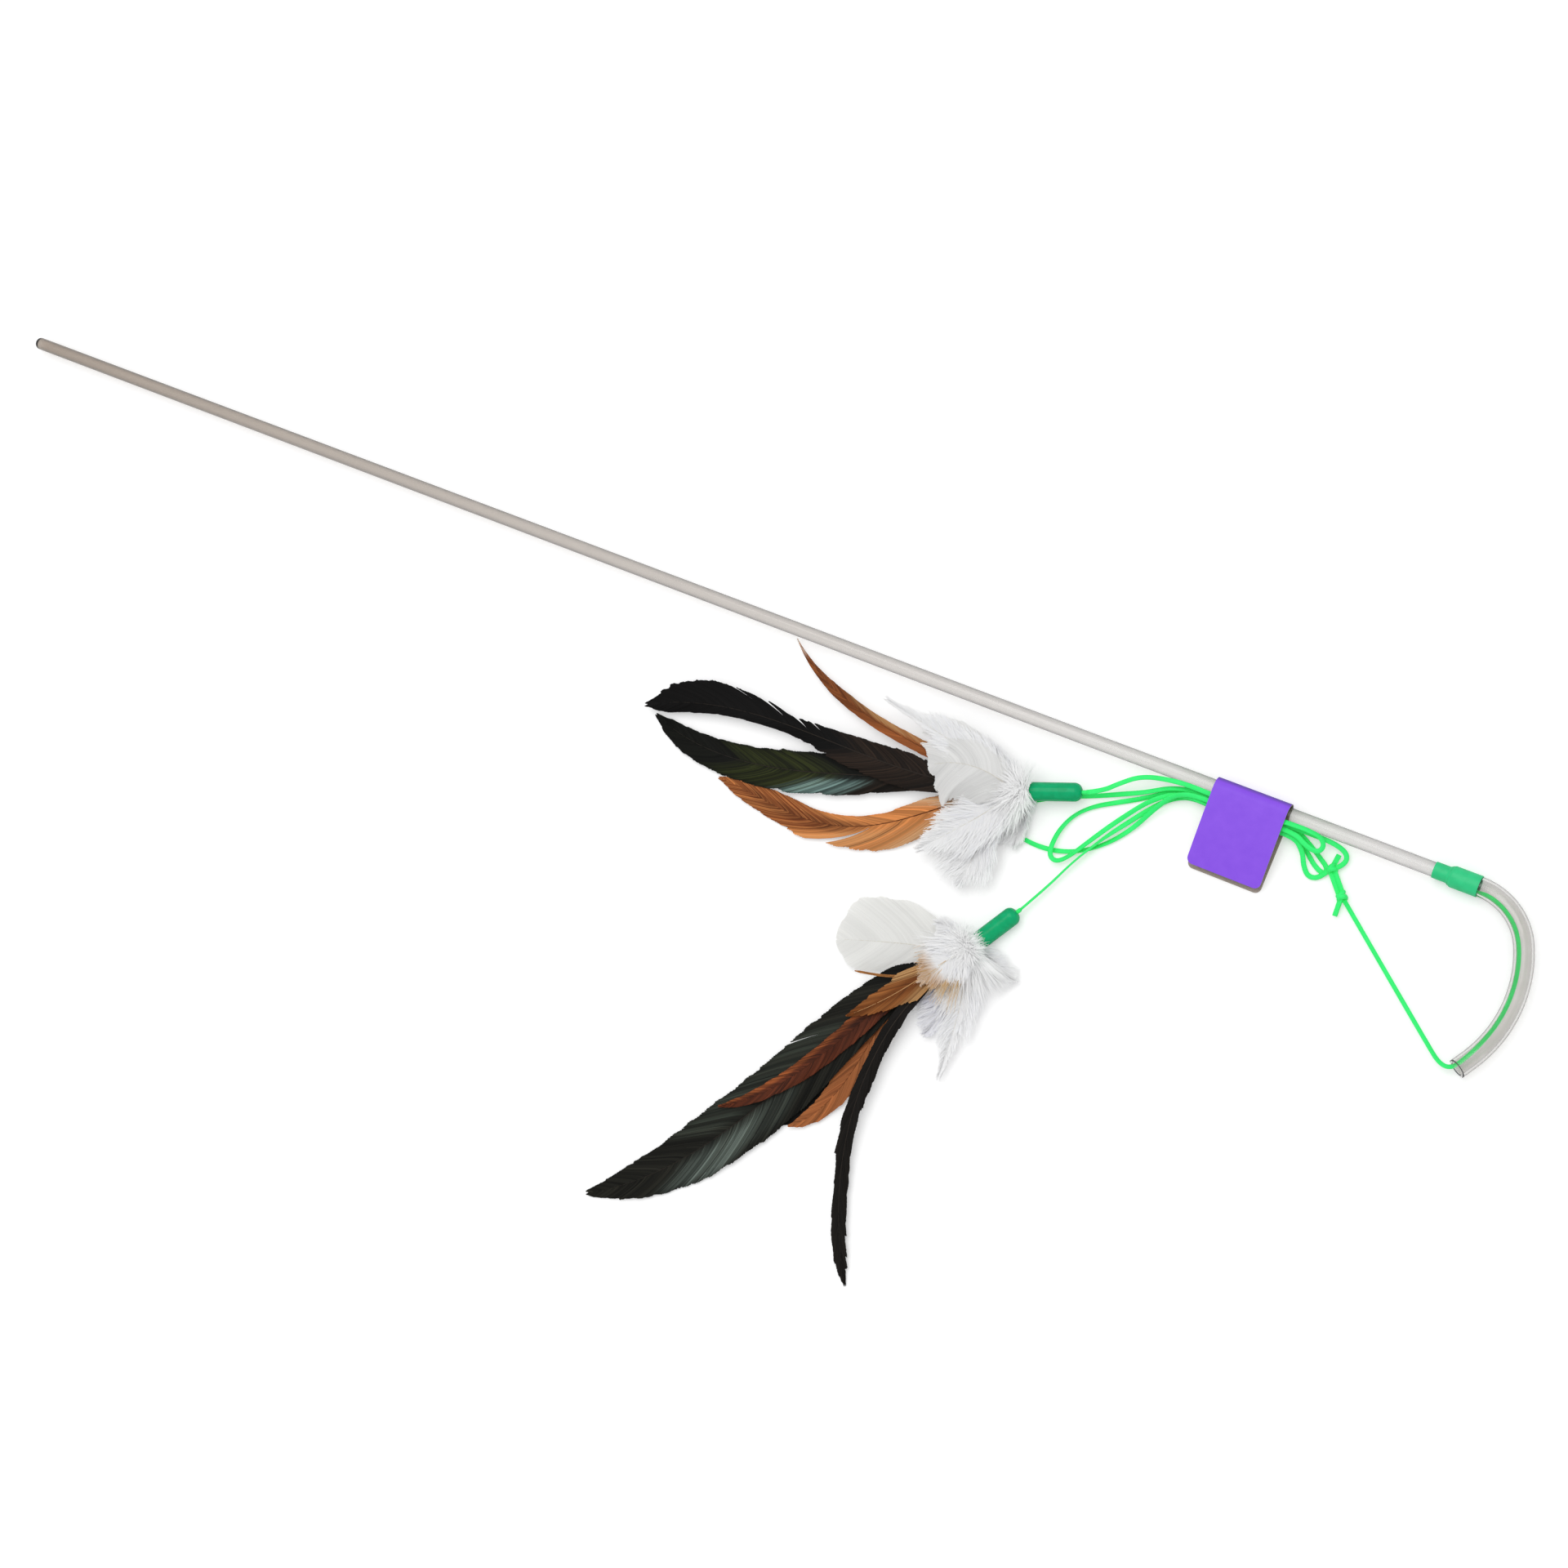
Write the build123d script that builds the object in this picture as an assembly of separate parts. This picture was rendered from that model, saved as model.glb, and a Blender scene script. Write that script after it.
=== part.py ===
from build123d import *
import os
from math import cos, dist, radians, sin, tan

# A cat teaser wand lying on a floor, in millimetres.
# The origin is the centre of the rod's handle end. +X runs along the rod to the tube, +Z is up,
# and the cords, the label's panels and the two feather lures lie on the -Y side of the rod.

os.makedirs("parts", exist_ok=True)

# Rod, tube and sleeve
rod_d = 4.76
rod_length = 609.6
rod_end_round = 1.6
rod_far_chamfer = 0.4
tube_d = 6.35
tube_on_rod = 8.4
tube_free_start = 1.0
tube_near_radius = 20.5
tube_near_turn = 66
tube_far_radius = 42.0
tube_far_turn = 55
tube_end_straight = 4.6
sleeve_wall = 0.3
sleeve_on_rod = 5.2
sleeve_taper = 1.6

# Label, a card folded over the rod
label_from_rod_end = 87.4
label_width = 25.4
label_card = 0.4
label_front = 25.7
label_back = 27.1
label_slope = 8.5
label_corner = 2.1

# Cords and knots
cord_d = 1.4
knot_d = 3.4
lower_tag = 5.2
upper_tag = 3.6
link_spread = 1.7
cord_end_gap = 0.25

# Caps, with what they hold
cap_d = 6.3
cap_length = 19.0
cap_bore_d = 4.8
cap_end_wall = 2.6
cap_end_round = 2.6
cap_hole_clearance = 0.1
cap_neck = 1.2
stop_knot_d = 3.0
glue_recess = 1.0
quill_d = 0.66
quill_depth = 8.0
quill_pitch_across = 0.98
quill_pitch_up = 1.12

# Lures: where the cap's rounded end lies, back from the rod's far end and aside, and the feathers' heading
lure_a_from_rod_end = 127.6
lure_a_y = -17.2
lure_a_heading = 199.6
lure_b_from_rod_end = 133.4
lure_b_y = -61.8
lure_b_heading = 238.4
under_cap_clearance = 0.3

# Feathers: a vane is a thin cambered blade round its shaft, and down is thicker
vane_edge = 0.25
vane_crown = 0.55
down_edge = 0.5
down_crown = 1.3
layer_pitch = 1.2

black_arched_length = 145.0
black_arched_width = 15.0
green_black_length = 139.0
green_black_width = 15.0
thin_brown_length = 104.0
thin_brown_width = 4.5
ginger_a_length = 119.0
ginger_a_width = 13.5
white_long_a_length = 60.0
white_long_a_width = 17.0
white_top_a_length = 28.0
white_top_a_width = 16.0
white_low_a_length = 40.0
white_low_a_width = 22.0
white_back_a_length = 19.0
white_back_a_width = 15.0
white_mid_a_length = 42.0
white_mid_a_width = 18.0
white_over_a_length = 35.0
white_over_a_width = 20.0

long_dark_length = 166.0
long_dark_width = 21.0
second_dark_length = 92.0
second_dark_width = 13.0
narrow_black_length = 128.0
narrow_black_width = 6.0
ginger_b_length = 49.0
ginger_b_width = 11.0
red_brown_length = 106.0
red_brown_width = 9.0
orange_brown_length = 90.0
orange_brown_width = 11.0
brown_filament_length = 45.0
brown_filament_width = 1.4
round_white_length = 50.0
round_white_width = 26.0
white_low_b_length = 45.0
white_low_b_width = 15.0
white_right_b_length = 19.0
white_right_b_width = 13.0
white_mid_b_length = 34.0
white_mid_b_width = 13.0
white_top_b_length = 20.0
white_top_b_width = 17.0
white_side_b_length = 12.5
white_side_b_width = 13.0

# Sizes that follow from the ones above
rod_r = rod_d / 2
tube_r = tube_d / 2
sleeve_r = tube_r + sleeve_wall
floor_z = -sleeve_r
tube_start = rod_length - tube_on_rod
tube_bend_x = rod_length + tube_free_start
sleeve_start = tube_start - sleeve_on_rod
label_x = rod_length - label_from_rod_end
cord_r = cord_d / 2
cap_r = cap_d / 2
cap_bore_r = cap_bore_d / 2
lure_a_x = rod_length - lure_a_from_rod_end
lure_b_x = rod_length - lure_b_from_rod_end
lure_a_z = floor_z + cord_d + 2 * under_cap_clearance + cap_r
lure_b_z = floor_z + cap_r

# The cords' routes, as points chosen along each cord
main_cord_route = [
    (602.8, -2.38, 0),
    (609.0, -2.3, 0),
    (614.3, -1.5, 0),
    (621.1, -4.3, 0),
    (626.4, -9.4, 0),
    (629.9, -17.2, 0),
    (631.6, -26.8, 0),
    (631.0, -36.6, 0),
    (628.1, -45.9, 0),
    (622.4, -55.5, -0.1),
    (620.0, -55.2, -0.2),
    (573.2, -18.7, -1.7),
]
lead_a_route = [
    (567.2, -10.5, -1.74),
    (569.4, -8.2, -1.7),
    (568.6, -5.4, -1.4),
    (564.0, -3.9, -0.9),
    (558.0, -3.6, -0.5),
    (551.5, -3.7, -0.4),
    (534.0, -3.8, -0.4),
    (517.0, -3.7, -0.4),
    (509.0, -6.2, -0.7),
    (501.5, -10.2, -1.4),
    (494.0, -12.9, -2.2),
    (486.0, -16.3, -2.75),
    (478.5, -19.3, -2.75),
    (471.0, -22.6, -2.75),
    (464.3, -26.8, -2.75),
    (460.0, -31.6, -2.75),
    (461.4, -36.4, -2.75),
    (467.5, -38.6, -2.75),
    (475.0, -39.0, -2.75),
    (482.6, -37.6, -2.75),
    (489.6, -34.2, -2.75),
    (496.0, -28.9, -2.75),
    (501.5, -22.2, -2.3),
    (506.0, -15.8, -0.6),
    (510.8, -9.8, 1.3),
    (517.0, -5.9, 1.1),
    (534.0, -5.6, 1.1),
    (551.5, -5.7, 1.1),
    (556.0, -7.6, 0.9),
    (560.3, -7.9, 0.9),
    (561.6, -5.8, 1.1),
    (560.3, -3.8, 1.4),
    (556.2, -3.6, 1.4),
    (551.5, -3.8, 1.45),
    (534.0, -3.7, 1.45),
    (517.0, -3.8, 1.45),
    (508.0, -4.5, 1.5),
    (500.0, -7.2, 1.6),
    (493.4, -11.0, 1.65),
    (488.4, -14.6, 1.69),
]
lead_b_route = [
    (565.5, -11.9, -1.8),
    (563.4, -15.0, -2.7),
    (560.4, -15.9, -2.75),
    (557.5, -13.6, -1.9),
    (555.6, -10.4, -0.8),
    (551.5, -7.6, -0.2),
    (534.0, -7.5, -0.25),
    (517.0, -7.6, -0.25),
    (510.0, -9.4, -0.7),
    (503.5, -13.6, -1.0),
    (498.0, -19.2, -1.0),
    (493.0, -26.0, -0.95),
    (488.6, -33.0, -0.95),
    (484.8, -39.0, -0.95),
    (481.6, -41.6, -0.95),
    (478.9, -40.4, -0.95),
    (478.2, -36.6, -1.0),
    (478.6, -31.0, -1.8),
    (481.0, -25.0, -2.5),
    (486.0, -20.2, -2.75),
    (493.0, -16.4, -2.75),
    (501.0, -12.8, -2.7),
    (508.0, -8.6, -2.4),
    (515.5, -5.7, -2.12),
    (534.0, -5.6, -2.1),
    (551.5, -5.6, -2.12),
    (556.4, -6.6, -2.5),
    (560.0, -8.4, -2.75),
    (562.9, -9.9, -2.75),
    (563.0, -12.5, -2.75),
    (560.6, -13.7, -2.75),
    (557.8, -11.6, -2.75),
    (555.0, -9.2, -2.7),
    (551.5, -7.5, -2.12),
    (534.0, -7.6, -2.1),
    (517.0, -7.5, -2.12),
    (510.5, -10.2, -2.5),
    (504.8, -15.0, -2.7),
    (499.5, -20.8, -2.0),
    (494.6, -27.4, -1.05),
    (490.2, -34.3, -0.95),
    (486.4, -41.2, -1.0),
    (483.2, -48.2, -1.2),
    (480.1, -54.4, -0.8),
]
link_route = [
    (572.3, -18.1, -1.74),
    (566.2, -11.1, -1.74),
]
lower_tag_heading = -87
upper_tag_heading = 84


def along_x(radius, length):
    """A cylinder that starts at the origin and runs along +X."""
    return Rot(0, 90, 0) * Cylinder(radius, length, align=(Align.CENTER, Align.CENTER, Align.MIN))


def turned(points):
    """A solid of revolution round X, from its half profile as (x, radius) points."""
    outline = make_face(Polyline(*points, close=True))
    return revolve(Plane.XY * outline, axis=Axis.X)


def make_rod():
    rod = along_x(rod_r, rod_length)
    rod = fillet(rod.edges().sort_by(Axis.X)[0], rod_end_round)
    return chamfer(rod.edges().sort_by(Axis.X)[-1], rod_far_chamfer)


def tube_path():
    on_rod = Line((tube_start, 0, 0), (tube_bend_x, 0, 0))
    near = JernArc(on_rod @ 1, on_rod % 1, tube_near_radius, -tube_near_turn)
    far = JernArc(near @ 1, near % 1, tube_far_radius, -tube_far_turn)
    end = Line(far @ 1, far @ 1 + (far % 1) * tube_end_straight)
    return Wire([on_rod.edge(), near.edge(), far.edge(), end.edge()])


def make_tube():
    ring = Plane((tube_start, 0, 0), z_dir=(1, 0, 0)) * (Circle(tube_r) - Circle(rod_r))
    return sweep(ring, path=tube_path())


def make_sleeve():
    on_rod_r = rod_r + sleeve_wall
    taper_start = tube_start - sleeve_taper / 2
    return turned(
        [
            (sleeve_start, rod_r),
            (sleeve_start, on_rod_r),
            (taper_start, on_rod_r),
            (taper_start + sleeve_taper, sleeve_r),
            (tube_bend_x, sleeve_r),
            (tube_bend_x, tube_r),
            (tube_start, tube_r),
            (tube_start, rod_r),
        ]
    )


def make_label():
    outer_r = -floor_z
    inner_r = outer_r - label_card
    slope = radians(label_slope)
    up = Vector(-sin(slope), cos(slope))
    down_panel = Vector(-cos(slope), -sin(slope)) * label_front
    outline = [
        Line((-label_back, -outer_r), (0, -outer_r)),
        ThreePointArc((0, -outer_r), (outer_r, 0), up * outer_r),
        Line(up * outer_r, up * outer_r + down_panel),
        Line(up * outer_r + down_panel, up * inner_r + down_panel),
        Line(up * inner_r + down_panel, up * inner_r),
        ThreePointArc(up * inner_r, (inner_r, 0), (0, -inner_r)),
        Line((0, -inner_r), (-label_back, -inner_r)),
        Line((-label_back, -inner_r), (-label_back, -outer_r)),
    ]
    card = extrude(Plane.YZ * make_face(outline), label_width)
    corners = [e for e in card.edges() if abs(e.length - label_card) < label_card / 2]
    return Pos(label_x, 0, 0) * fillet(corners, label_corner)


def bend_radii(points):
    """The radius at each inner point: 0.45 of the shorter run over the tangent of half the turn."""
    run_share = 0.45
    spots = [Vector(*p) for p in points]
    radii = []
    for before, here, after in zip(spots, spots[1:], spots[2:]):
        run_in = here - before
        run_out = after - here
        half_turn = radians(run_in.get_angle(run_out)) / 2
        radii.append(run_share * min(run_in.length, run_out.length) / tan(half_turn))
    return radii


def own_gap(path):
    """The least gap from a cord to itself, on points half a diameter apart."""
    passed_over = 6
    count = round(path.length / cord_r)
    spots = [tuple(path @ (n / count)) for n in range(count + 1)]
    return min(dist(p, q) for n, p in enumerate(spots) for q in spots[n + passed_over :]) - cord_d


def make_cord(name, points):
    radii = bend_radii(points)
    path = FilletPolyline(*points, radius=radii)
    section = Plane(path @ 0, z_dir=path % 0) * Circle(cord_r)
    cord = sweep(section, path=path)
    filled = cord.volume / (Circle(cord_r).area * path.length)
    print(f"{name}: length {path.length:.1f}, volume over section times length {filled:.3f}")
    print(f"{name}: tightest radius {min(radii):.2f}, least gap to itself {own_gap(path):.2f}")
    return cord


def make_link(side):
    """One of the two strands that lie side by side between the knots."""
    start, end = [Vector(*p) for p in link_route]
    run = end - start
    seen = run.length - knot_d + cord_d
    across = Plane((start + end) / 2, x_dir=(0, 0, 1), z_dir=run)
    return across * Pos(0, side * link_spread / 2, 0) * Cylinder(cord_r, seen)


def make_knot(place, tag, tag_heading, cords):
    """A tight knot with the cut end of the cord standing out of it, cut by the cords that it ties."""
    knot = Pos(*place) * (Sphere(knot_d / 2) + Rot(0, 0, tag_heading) * along_x(cord_r, tag))
    for cord in cords:
        knot -= cord
    return knot


# Stations along a feather's free length, and its width at each of them
station_shares = (0, 0.08, 0.16, 0.3, 0.45, 0.6, 0.75, 0.88, 0.96, 1)
tail_shares = (0, 0.08, 0.2, 0.62, 0.95, 1.0, 0.92, 0.68, 0.35, 0.06)
arched_shares = (0, 0.08, 0.4, 0.75, 0.7, 0.34, 0.62, 1.0, 0.68, 0.1)
hackle_shares = (0, 0.1, 0.3, 0.72, 1.0, 0.95, 0.78, 0.52, 0.26, 0.06)
strap_shares = (0, 0.14, 0.6, 0.95, 1.0, 0.95, 0.95, 1.0, 0.6, 0.12)
down_shares = (0, 0.08, 0.2, 0.62, 0.95, 1.0, 0.9, 0.66, 0.4, 0.14)
round_shares = (0, 0.08, 0.2, 0.6, 0.92, 1.0, 0.98, 0.8, 0.56, 0.3)
splay_share = 0.16
vane_near_share = 0.3
down_near_share = 0.16
walk_steps = 50


class Feather:
    """One feather: its sizes, its way out of the cap in degrees, its heights in layers, and its outline.

    The shaft leaves the cap along the cap's axis and turns aside by splay over its first part. Bow then
    turns it evenly along its length, and hook turns it more and more towards the tip.
    """

    def __init__(self, name, length, width, turns, layers, width_shares):
        self.name = name
        self.length = length
        self.width = width
        self.splay, self.bow, self.hook = turns
        self.near_layer, self.tip_layer = layers
        self.width_shares = width_shares
        downy = width_shares in (down_shares, round_shares)
        self.edge = down_edge if downy else vane_edge
        self.crown = down_crown if downy else vane_crown
        self.near_share = down_near_share if downy else vane_near_share


green_black = Feather(
    "green_black_feather", green_black_length, green_black_width, (-19, 86, -108), (3.2, 1.0), tail_shares
)
black_arched = Feather(
    "black_arched_feather", black_arched_length, black_arched_width, (4, -100, 105), (5.0, 3.2), arched_shares
)
thin_brown = Feather(
    "thin_brown_feather", thin_brown_length, thin_brown_width, (-38, 82, -108), (4.4, 2.4), strap_shares
)
ginger_a = Feather("ginger_feather_a", ginger_a_length, ginger_a_width, (18, 9, -72), (2.2, 0.8), hackle_shares)
white_back_a = Feather(
    "white_back_feather_a", white_back_a_length, white_back_a_width, (95, -36, 21), (2.0, 1.8), down_shares
)
white_low_a = Feather(
    "white_low_feather_a", white_low_a_length, white_low_a_width, (41, 62, -42), (4.7, 2.4), down_shares
)
white_top_a = Feather(
    "white_top_feather_a", white_top_a_length, white_top_a_width, (-54, 60, -60), (5.4, 5.2), down_shares
)
white_long_a = Feather(
    "white_long_feather_a", white_long_a_length, white_long_a_width, (-45, 46, -32), (8.0, 7.0), down_shares
)
white_mid_a = Feather(
    "white_mid_feather_a", white_mid_a_length, white_mid_a_width, (38, -24, 14), (6.6, 5.4), down_shares
)
white_over_a = Feather(
    "white_over_feather_a", white_over_a_length, white_over_a_width, (-13, 20, -10), (9.6, 9.4), down_shares
)
second_dark = Feather(
    "second_dark_feather", second_dark_length, second_dark_width, (-11, 74, -62), (1.2, 0.8), tail_shares
)
orange_brown = Feather(
    "orange_brown_feather", orange_brown_length, orange_brown_width, (-13, 106, -104), (2.2, 1.5), hackle_shares
)
white_mid_b = Feather(
    "white_mid_feather_b", white_mid_b_length, white_mid_b_width, (46, -44, 10), (1.1, 0.9), down_shares
)
white_right_b = Feather(
    "white_right_feather_b", white_right_b_length, white_right_b_width, (112, 6, 0), (2.2, 1.8), down_shares
)
round_white = Feather(
    "round_white_feather", round_white_length, round_white_width, (-46, 8, 0), (3.2, 2.2), round_shares
)
long_dark = Feather(
    "long_dark_feather", long_dark_length, long_dark_width, (-17, 88, -100), (3.4, 0.8), tail_shares
)
red_brown = Feather(
    "red_brown_feather", red_brown_length, red_brown_width, (-13, 77, -94), (4.6, 3.4), hackle_shares
)
white_low_b = Feather(
    "white_low_feather_b", white_low_b_length, white_low_b_width, (66, -80, 52), (4.2, 2.8), down_shares
)
brown_filament = Feather(
    "brown_filament", brown_filament_length, brown_filament_width, (-14, -22, 4), (5.2, 4.8), strap_shares
)
ginger_b = Feather("ginger_feather_b", ginger_b_length, ginger_b_width, (2, -10, -11), (6.6, 5.8), hackle_shares)
narrow_black = Feather(
    "narrow_black_feather", narrow_black_length, narrow_black_width, (-4, 82, -13), (5.6, 0.8), strap_shares
)
white_top_b = Feather(
    "white_top_feather_b", white_top_b_length, white_top_b_width, (-20, 60, -40), (8.6, 7.8), down_shares
)
white_side_b = Feather(
    "white_side_feather_b", white_side_b_length, white_side_b_width, (-96, 30, 20), (5.4, 5.0), down_shares
)

# The quills' seats in each cap: rows from the floor side up, each row from the rod side across
lure_a_rows = [
    [green_black, ginger_a, white_back_a],
    [thin_brown, black_arched, white_low_a],
    [white_top_a, white_long_a, white_over_a, white_mid_a],
]
lure_b_rows = [
    [second_dark, orange_brown, white_mid_b, white_right_b],
    [white_side_b, round_white, long_dark, red_brown, white_low_b],
    [brown_filament, ginger_b, narrow_black, white_top_b],
]


def shaft_stations(feather, across, up, axis_height):
    """Where the shaft is at each station beyond the cap: along, across and up, and its heading."""
    step = feather.length / walk_steps
    along = cap_length
    aside = across
    places = [(along, aside, 0)]
    for n in range(walk_steps):
        share = (n + 0.5) / walk_steps
        turn = feather.splay * min(1, share / splay_share) + feather.bow * share + feather.hook * share**2
        along += step * cos(radians(turn))
        aside += step * sin(radians(turn))
        places.append((along, aside, turn))
    near = feather.near_layer * layer_pitch - axis_height
    tip = feather.tip_layer * layer_pitch - axis_height
    stations = []
    for share in station_shares:
        along, aside, turn = places[round(share * walk_steps)]
        if share < feather.near_share:
            height = up + (near - up) * share / feather.near_share
        else:
            height = near + (tip - near) * (share - feather.near_share) / (1 - feather.near_share)
        stations.append((along, aside, height, turn))
    return stations


def blade_section(along, aside, height, turn, half, edge, crown):
    """A cross section of a feather: flat below, arched above, square to the shaft's heading."""
    out = Vector(cos(radians(turn)), sin(radians(turn)))
    across = Vector(-out.Y, out.X)
    low = -edge / 2
    high = edge / 2
    outline = [
        Line((-half, low), (half, low)),
        Line((half, low), (half, high)),
        ThreePointArc((half, high), (0, high + crown), (-half, high)),
        Line((-half, high), (-half, low)),
    ]
    return Plane((along, aside, height), x_dir=across, z_dir=out) * make_face(outline)


def make_feather(feather, across, up, axis_height):
    """One blade from the quill's foot in the glue to the feather's tip, along the cap's +X axis."""
    quill = (quill_d / 2, quill_d / 2, quill_d / 2)
    foot = cap_length - quill_depth
    sections = [blade_section(foot, across, up, 0, *quill)]
    sections.append(blade_section(cap_length, across, up, 0, *quill))
    stations = shaft_stations(feather, across, up, axis_height)
    for place, share in list(zip(stations, feather.width_shares))[1:]:
        half = max(feather.width * share / 2, quill_d / 2)
        sections.append(blade_section(*place, half, feather.edge, max(feather.crown * share, quill_d / 4)))
    return loft(sections, ruled=True)


def make_cap():
    hole_r = cord_r + cap_hole_clearance
    cap = along_x(cap_r, cap_length)
    cap = fillet(cap.edges().sort_by(Axis.X)[0], cap_end_round)
    bore = Pos(cap_end_wall, 0, 0) * along_x(cap_bore_r, cap_length)
    return cap - bore - along_x(hole_r, cap_length)


def make_stop_knot():
    """The cord's end in the cap: a ball where it bends, a neck through the hole and a knot inside."""
    neck = Pos(-cap_neck, 0, 0) * along_x(cord_r, cap_neck + cap_end_wall + stop_knot_d / 2)
    knot = Pos(cap_end_wall + stop_knot_d / 2, 0, 0) * Sphere(stop_knot_d / 2)
    return Pos(-cap_neck, 0, 0) * Sphere(cord_r) + neck + knot


def make_glue(feathers):
    start = cap_end_wall + stop_knot_d
    plug = Pos(start, 0, 0) * along_x(cap_bore_r, cap_length - glue_recess - start)
    for feather in feathers:
        plug -= feather
    return plug


def make_lure(letter, rows, place, heading):
    """All of a lure's solids by node name, in the wand's frame."""
    axis_height = place[2] - floor_z
    feathers = {}
    for r, row in enumerate(rows):
        up = (r - (len(rows) - 1) / 2) * quill_pitch_up
        for c, feather in enumerate(row):
            across = (c - (len(row) - 1) / 2) * quill_pitch_across
            feathers[feather.name] = make_feather(feather, across, up, axis_height)
    solids = {
        f"cap_{letter}": make_cap(),
        f"stop_knot_{letter}": make_stop_knot(),
        f"glue_plug_{letter}": make_glue(feathers.values()),
        **feathers,
    }
    lay = Pos(*place) * Rot(0, 0, heading)
    return {name: lay * solid for name, solid in solids.items()}


def cord_end_at(place, heading):
    """The end of a lead, just short of the ball on which its lure turns."""
    back = cap_neck + cord_r + cord_end_gap
    return (place[0] - back * cos(radians(heading)), place[1] - back * sin(radians(heading)), place[2])


lure_a_place = (lure_a_x, lure_a_y, lure_a_z)
lure_b_place = (lure_b_x, lure_b_y, lure_b_z)
main_cord = make_cord("main_cord", main_cord_route)
lead_a = make_cord("lead_a", lead_a_route + [cord_end_at(lure_a_place, lure_a_heading)])
lead_b = make_cord("lead_b", lead_b_route + [cord_end_at(lure_b_place, lure_b_heading)])
near_link = make_link(1)
far_link = make_link(-1)
links = [near_link, far_link]
nodes = {
    "rod": make_rod(),
    "flexible_tube": make_tube(),
    "sleeve": make_sleeve(),
    "label": make_label(),
    "main_cord": main_cord,
    "lower_knot": make_knot(link_route[0], lower_tag, lower_tag_heading, [main_cord] + links),
    "near_link": near_link,
    "far_link": far_link,
    "upper_knot": make_knot(link_route[1], upper_tag, upper_tag_heading, [lead_a, lead_b] + links),
    "lead_a": lead_a,
    "lead_b": lead_b,
    **make_lure("a", lure_a_rows, lure_a_place, lure_a_heading),
    **make_lure("b", lure_b_rows, lure_b_place, lure_b_heading),
}
for name, solid in nodes.items():
    export_step(solid, f"parts/{name}.step")
print(f"{len(nodes)} nodes, floor at {floor_z:.3f}")
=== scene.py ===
# %% [markdown]
# # A cat teaser wand
# A clear rod ends in a bent clear tube. A flat green elastic cord comes out of the tube, is tied, and splits into two
# leads, each with a tuft of feathers in a green cap. A purple card holds the spare cord against the rod.
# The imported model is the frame: every piece here is made in metres, at the place that the model gives it.

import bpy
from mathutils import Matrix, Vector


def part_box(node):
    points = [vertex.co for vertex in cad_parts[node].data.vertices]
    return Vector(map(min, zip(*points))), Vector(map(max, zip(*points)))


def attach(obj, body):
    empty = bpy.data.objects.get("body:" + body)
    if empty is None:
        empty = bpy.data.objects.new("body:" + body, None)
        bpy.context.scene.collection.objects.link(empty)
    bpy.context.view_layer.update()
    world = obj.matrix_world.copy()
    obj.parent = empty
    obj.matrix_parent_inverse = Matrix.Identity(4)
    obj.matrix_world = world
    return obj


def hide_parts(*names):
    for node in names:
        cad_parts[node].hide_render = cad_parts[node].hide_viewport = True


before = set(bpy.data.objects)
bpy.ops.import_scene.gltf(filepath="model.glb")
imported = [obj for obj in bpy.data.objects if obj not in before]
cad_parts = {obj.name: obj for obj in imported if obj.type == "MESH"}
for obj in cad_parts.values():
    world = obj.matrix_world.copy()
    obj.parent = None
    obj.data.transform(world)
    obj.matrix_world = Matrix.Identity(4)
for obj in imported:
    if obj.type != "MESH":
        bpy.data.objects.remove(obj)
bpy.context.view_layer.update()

# %% [markdown]
# ## Helpers
# All sizes below are written in millimetres and multiplied by MM. Colours are written as they look on a screen, and
# one function turns them to the linear values that Blender works in. One function adds a node to a material.

# %% Units, colours and nodes
import math

import bpy
import numpy as np
from mathutils import Matrix, Vector

MM = 0.001


def linear(hex_colour):
    """A colour such as #8F5AEA as linear red, green, blue and alpha."""
    parts = [int(hex_colour[i : i + 2], 16) / 255 for i in (1, 3, 5)]
    return [p / 12.92 if p <= 0.04045 else ((p + 0.055) / 1.055) ** 2.4 for p in parts] + [1.0]


def add_node(tree, kind, inputs=(), **settings):
    """One node with its settings; an input that is another node's socket is linked, any other is a value."""
    made = tree.nodes.new(kind)
    for name, value in settings.items():
        setattr(made, name, value)
    for socket, value in dict(inputs).items():
        if isinstance(value, bpy.types.NodeSocket):
            tree.links.new(value, made.inputs[socket])
        else:
            made.inputs[socket].default_value = value
    return made


def empty_material(name):
    """A new material with an empty node tree."""
    material = bpy.data.materials.new(name)
    material.use_nodes = True
    material.node_tree.nodes.clear()
    return material


print("grey 50% is", round(linear("#808080")[0], 3), "in linear light")

# %% [markdown]
# ## Camera
# The photo looks down on the wand from about 66 degrees above the floor, and the rod runs across it at a slant. The
# camera's place and its three directions are given outright, so that the rod falls on the same line as in the photo.

# %% Camera
bpy.context.scene.view_settings.view_transform = "Standard"
camera_right = Vector((0.84875, 0.37804, -0.36975))
camera_up = Vector((-0.34658, 0.92579, 0.15099))
camera_back = Vector((0.39939, 0.0, 0.91678))
camera_place = Vector((717.73, -51.70, 772.30)) * MM

lens = bpy.data.cameras.new("photo_camera")
lens.lens = 56
lens.sensor_width = 36
lens.sensor_fit = "HORIZONTAL"
lens.clip_start = 0.01
camera = bpy.data.objects.new("photo_camera", lens)
bpy.context.scene.collection.objects.link(camera)
turned = Matrix((camera_right, camera_up, camera_back)).transposed().to_4x4()
camera.matrix_world = Matrix.Translation(camera_place) @ turned
bpy.context.scene.camera = camera
print("camera is", round(camera_place.z, 3), "m above the rod")

# %% [markdown]
# ## Floor and light
# A white sheet of paper under a large soft lamp. The lamp stays at a plain level, so that a colour looks as it is
# written. The floor adds a little light of its own for the camera only, which makes the paper white in the picture
# and keeps the shadow on it. Clear plastic shows what is behind it, so rays that pass through it see that paper too.

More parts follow.
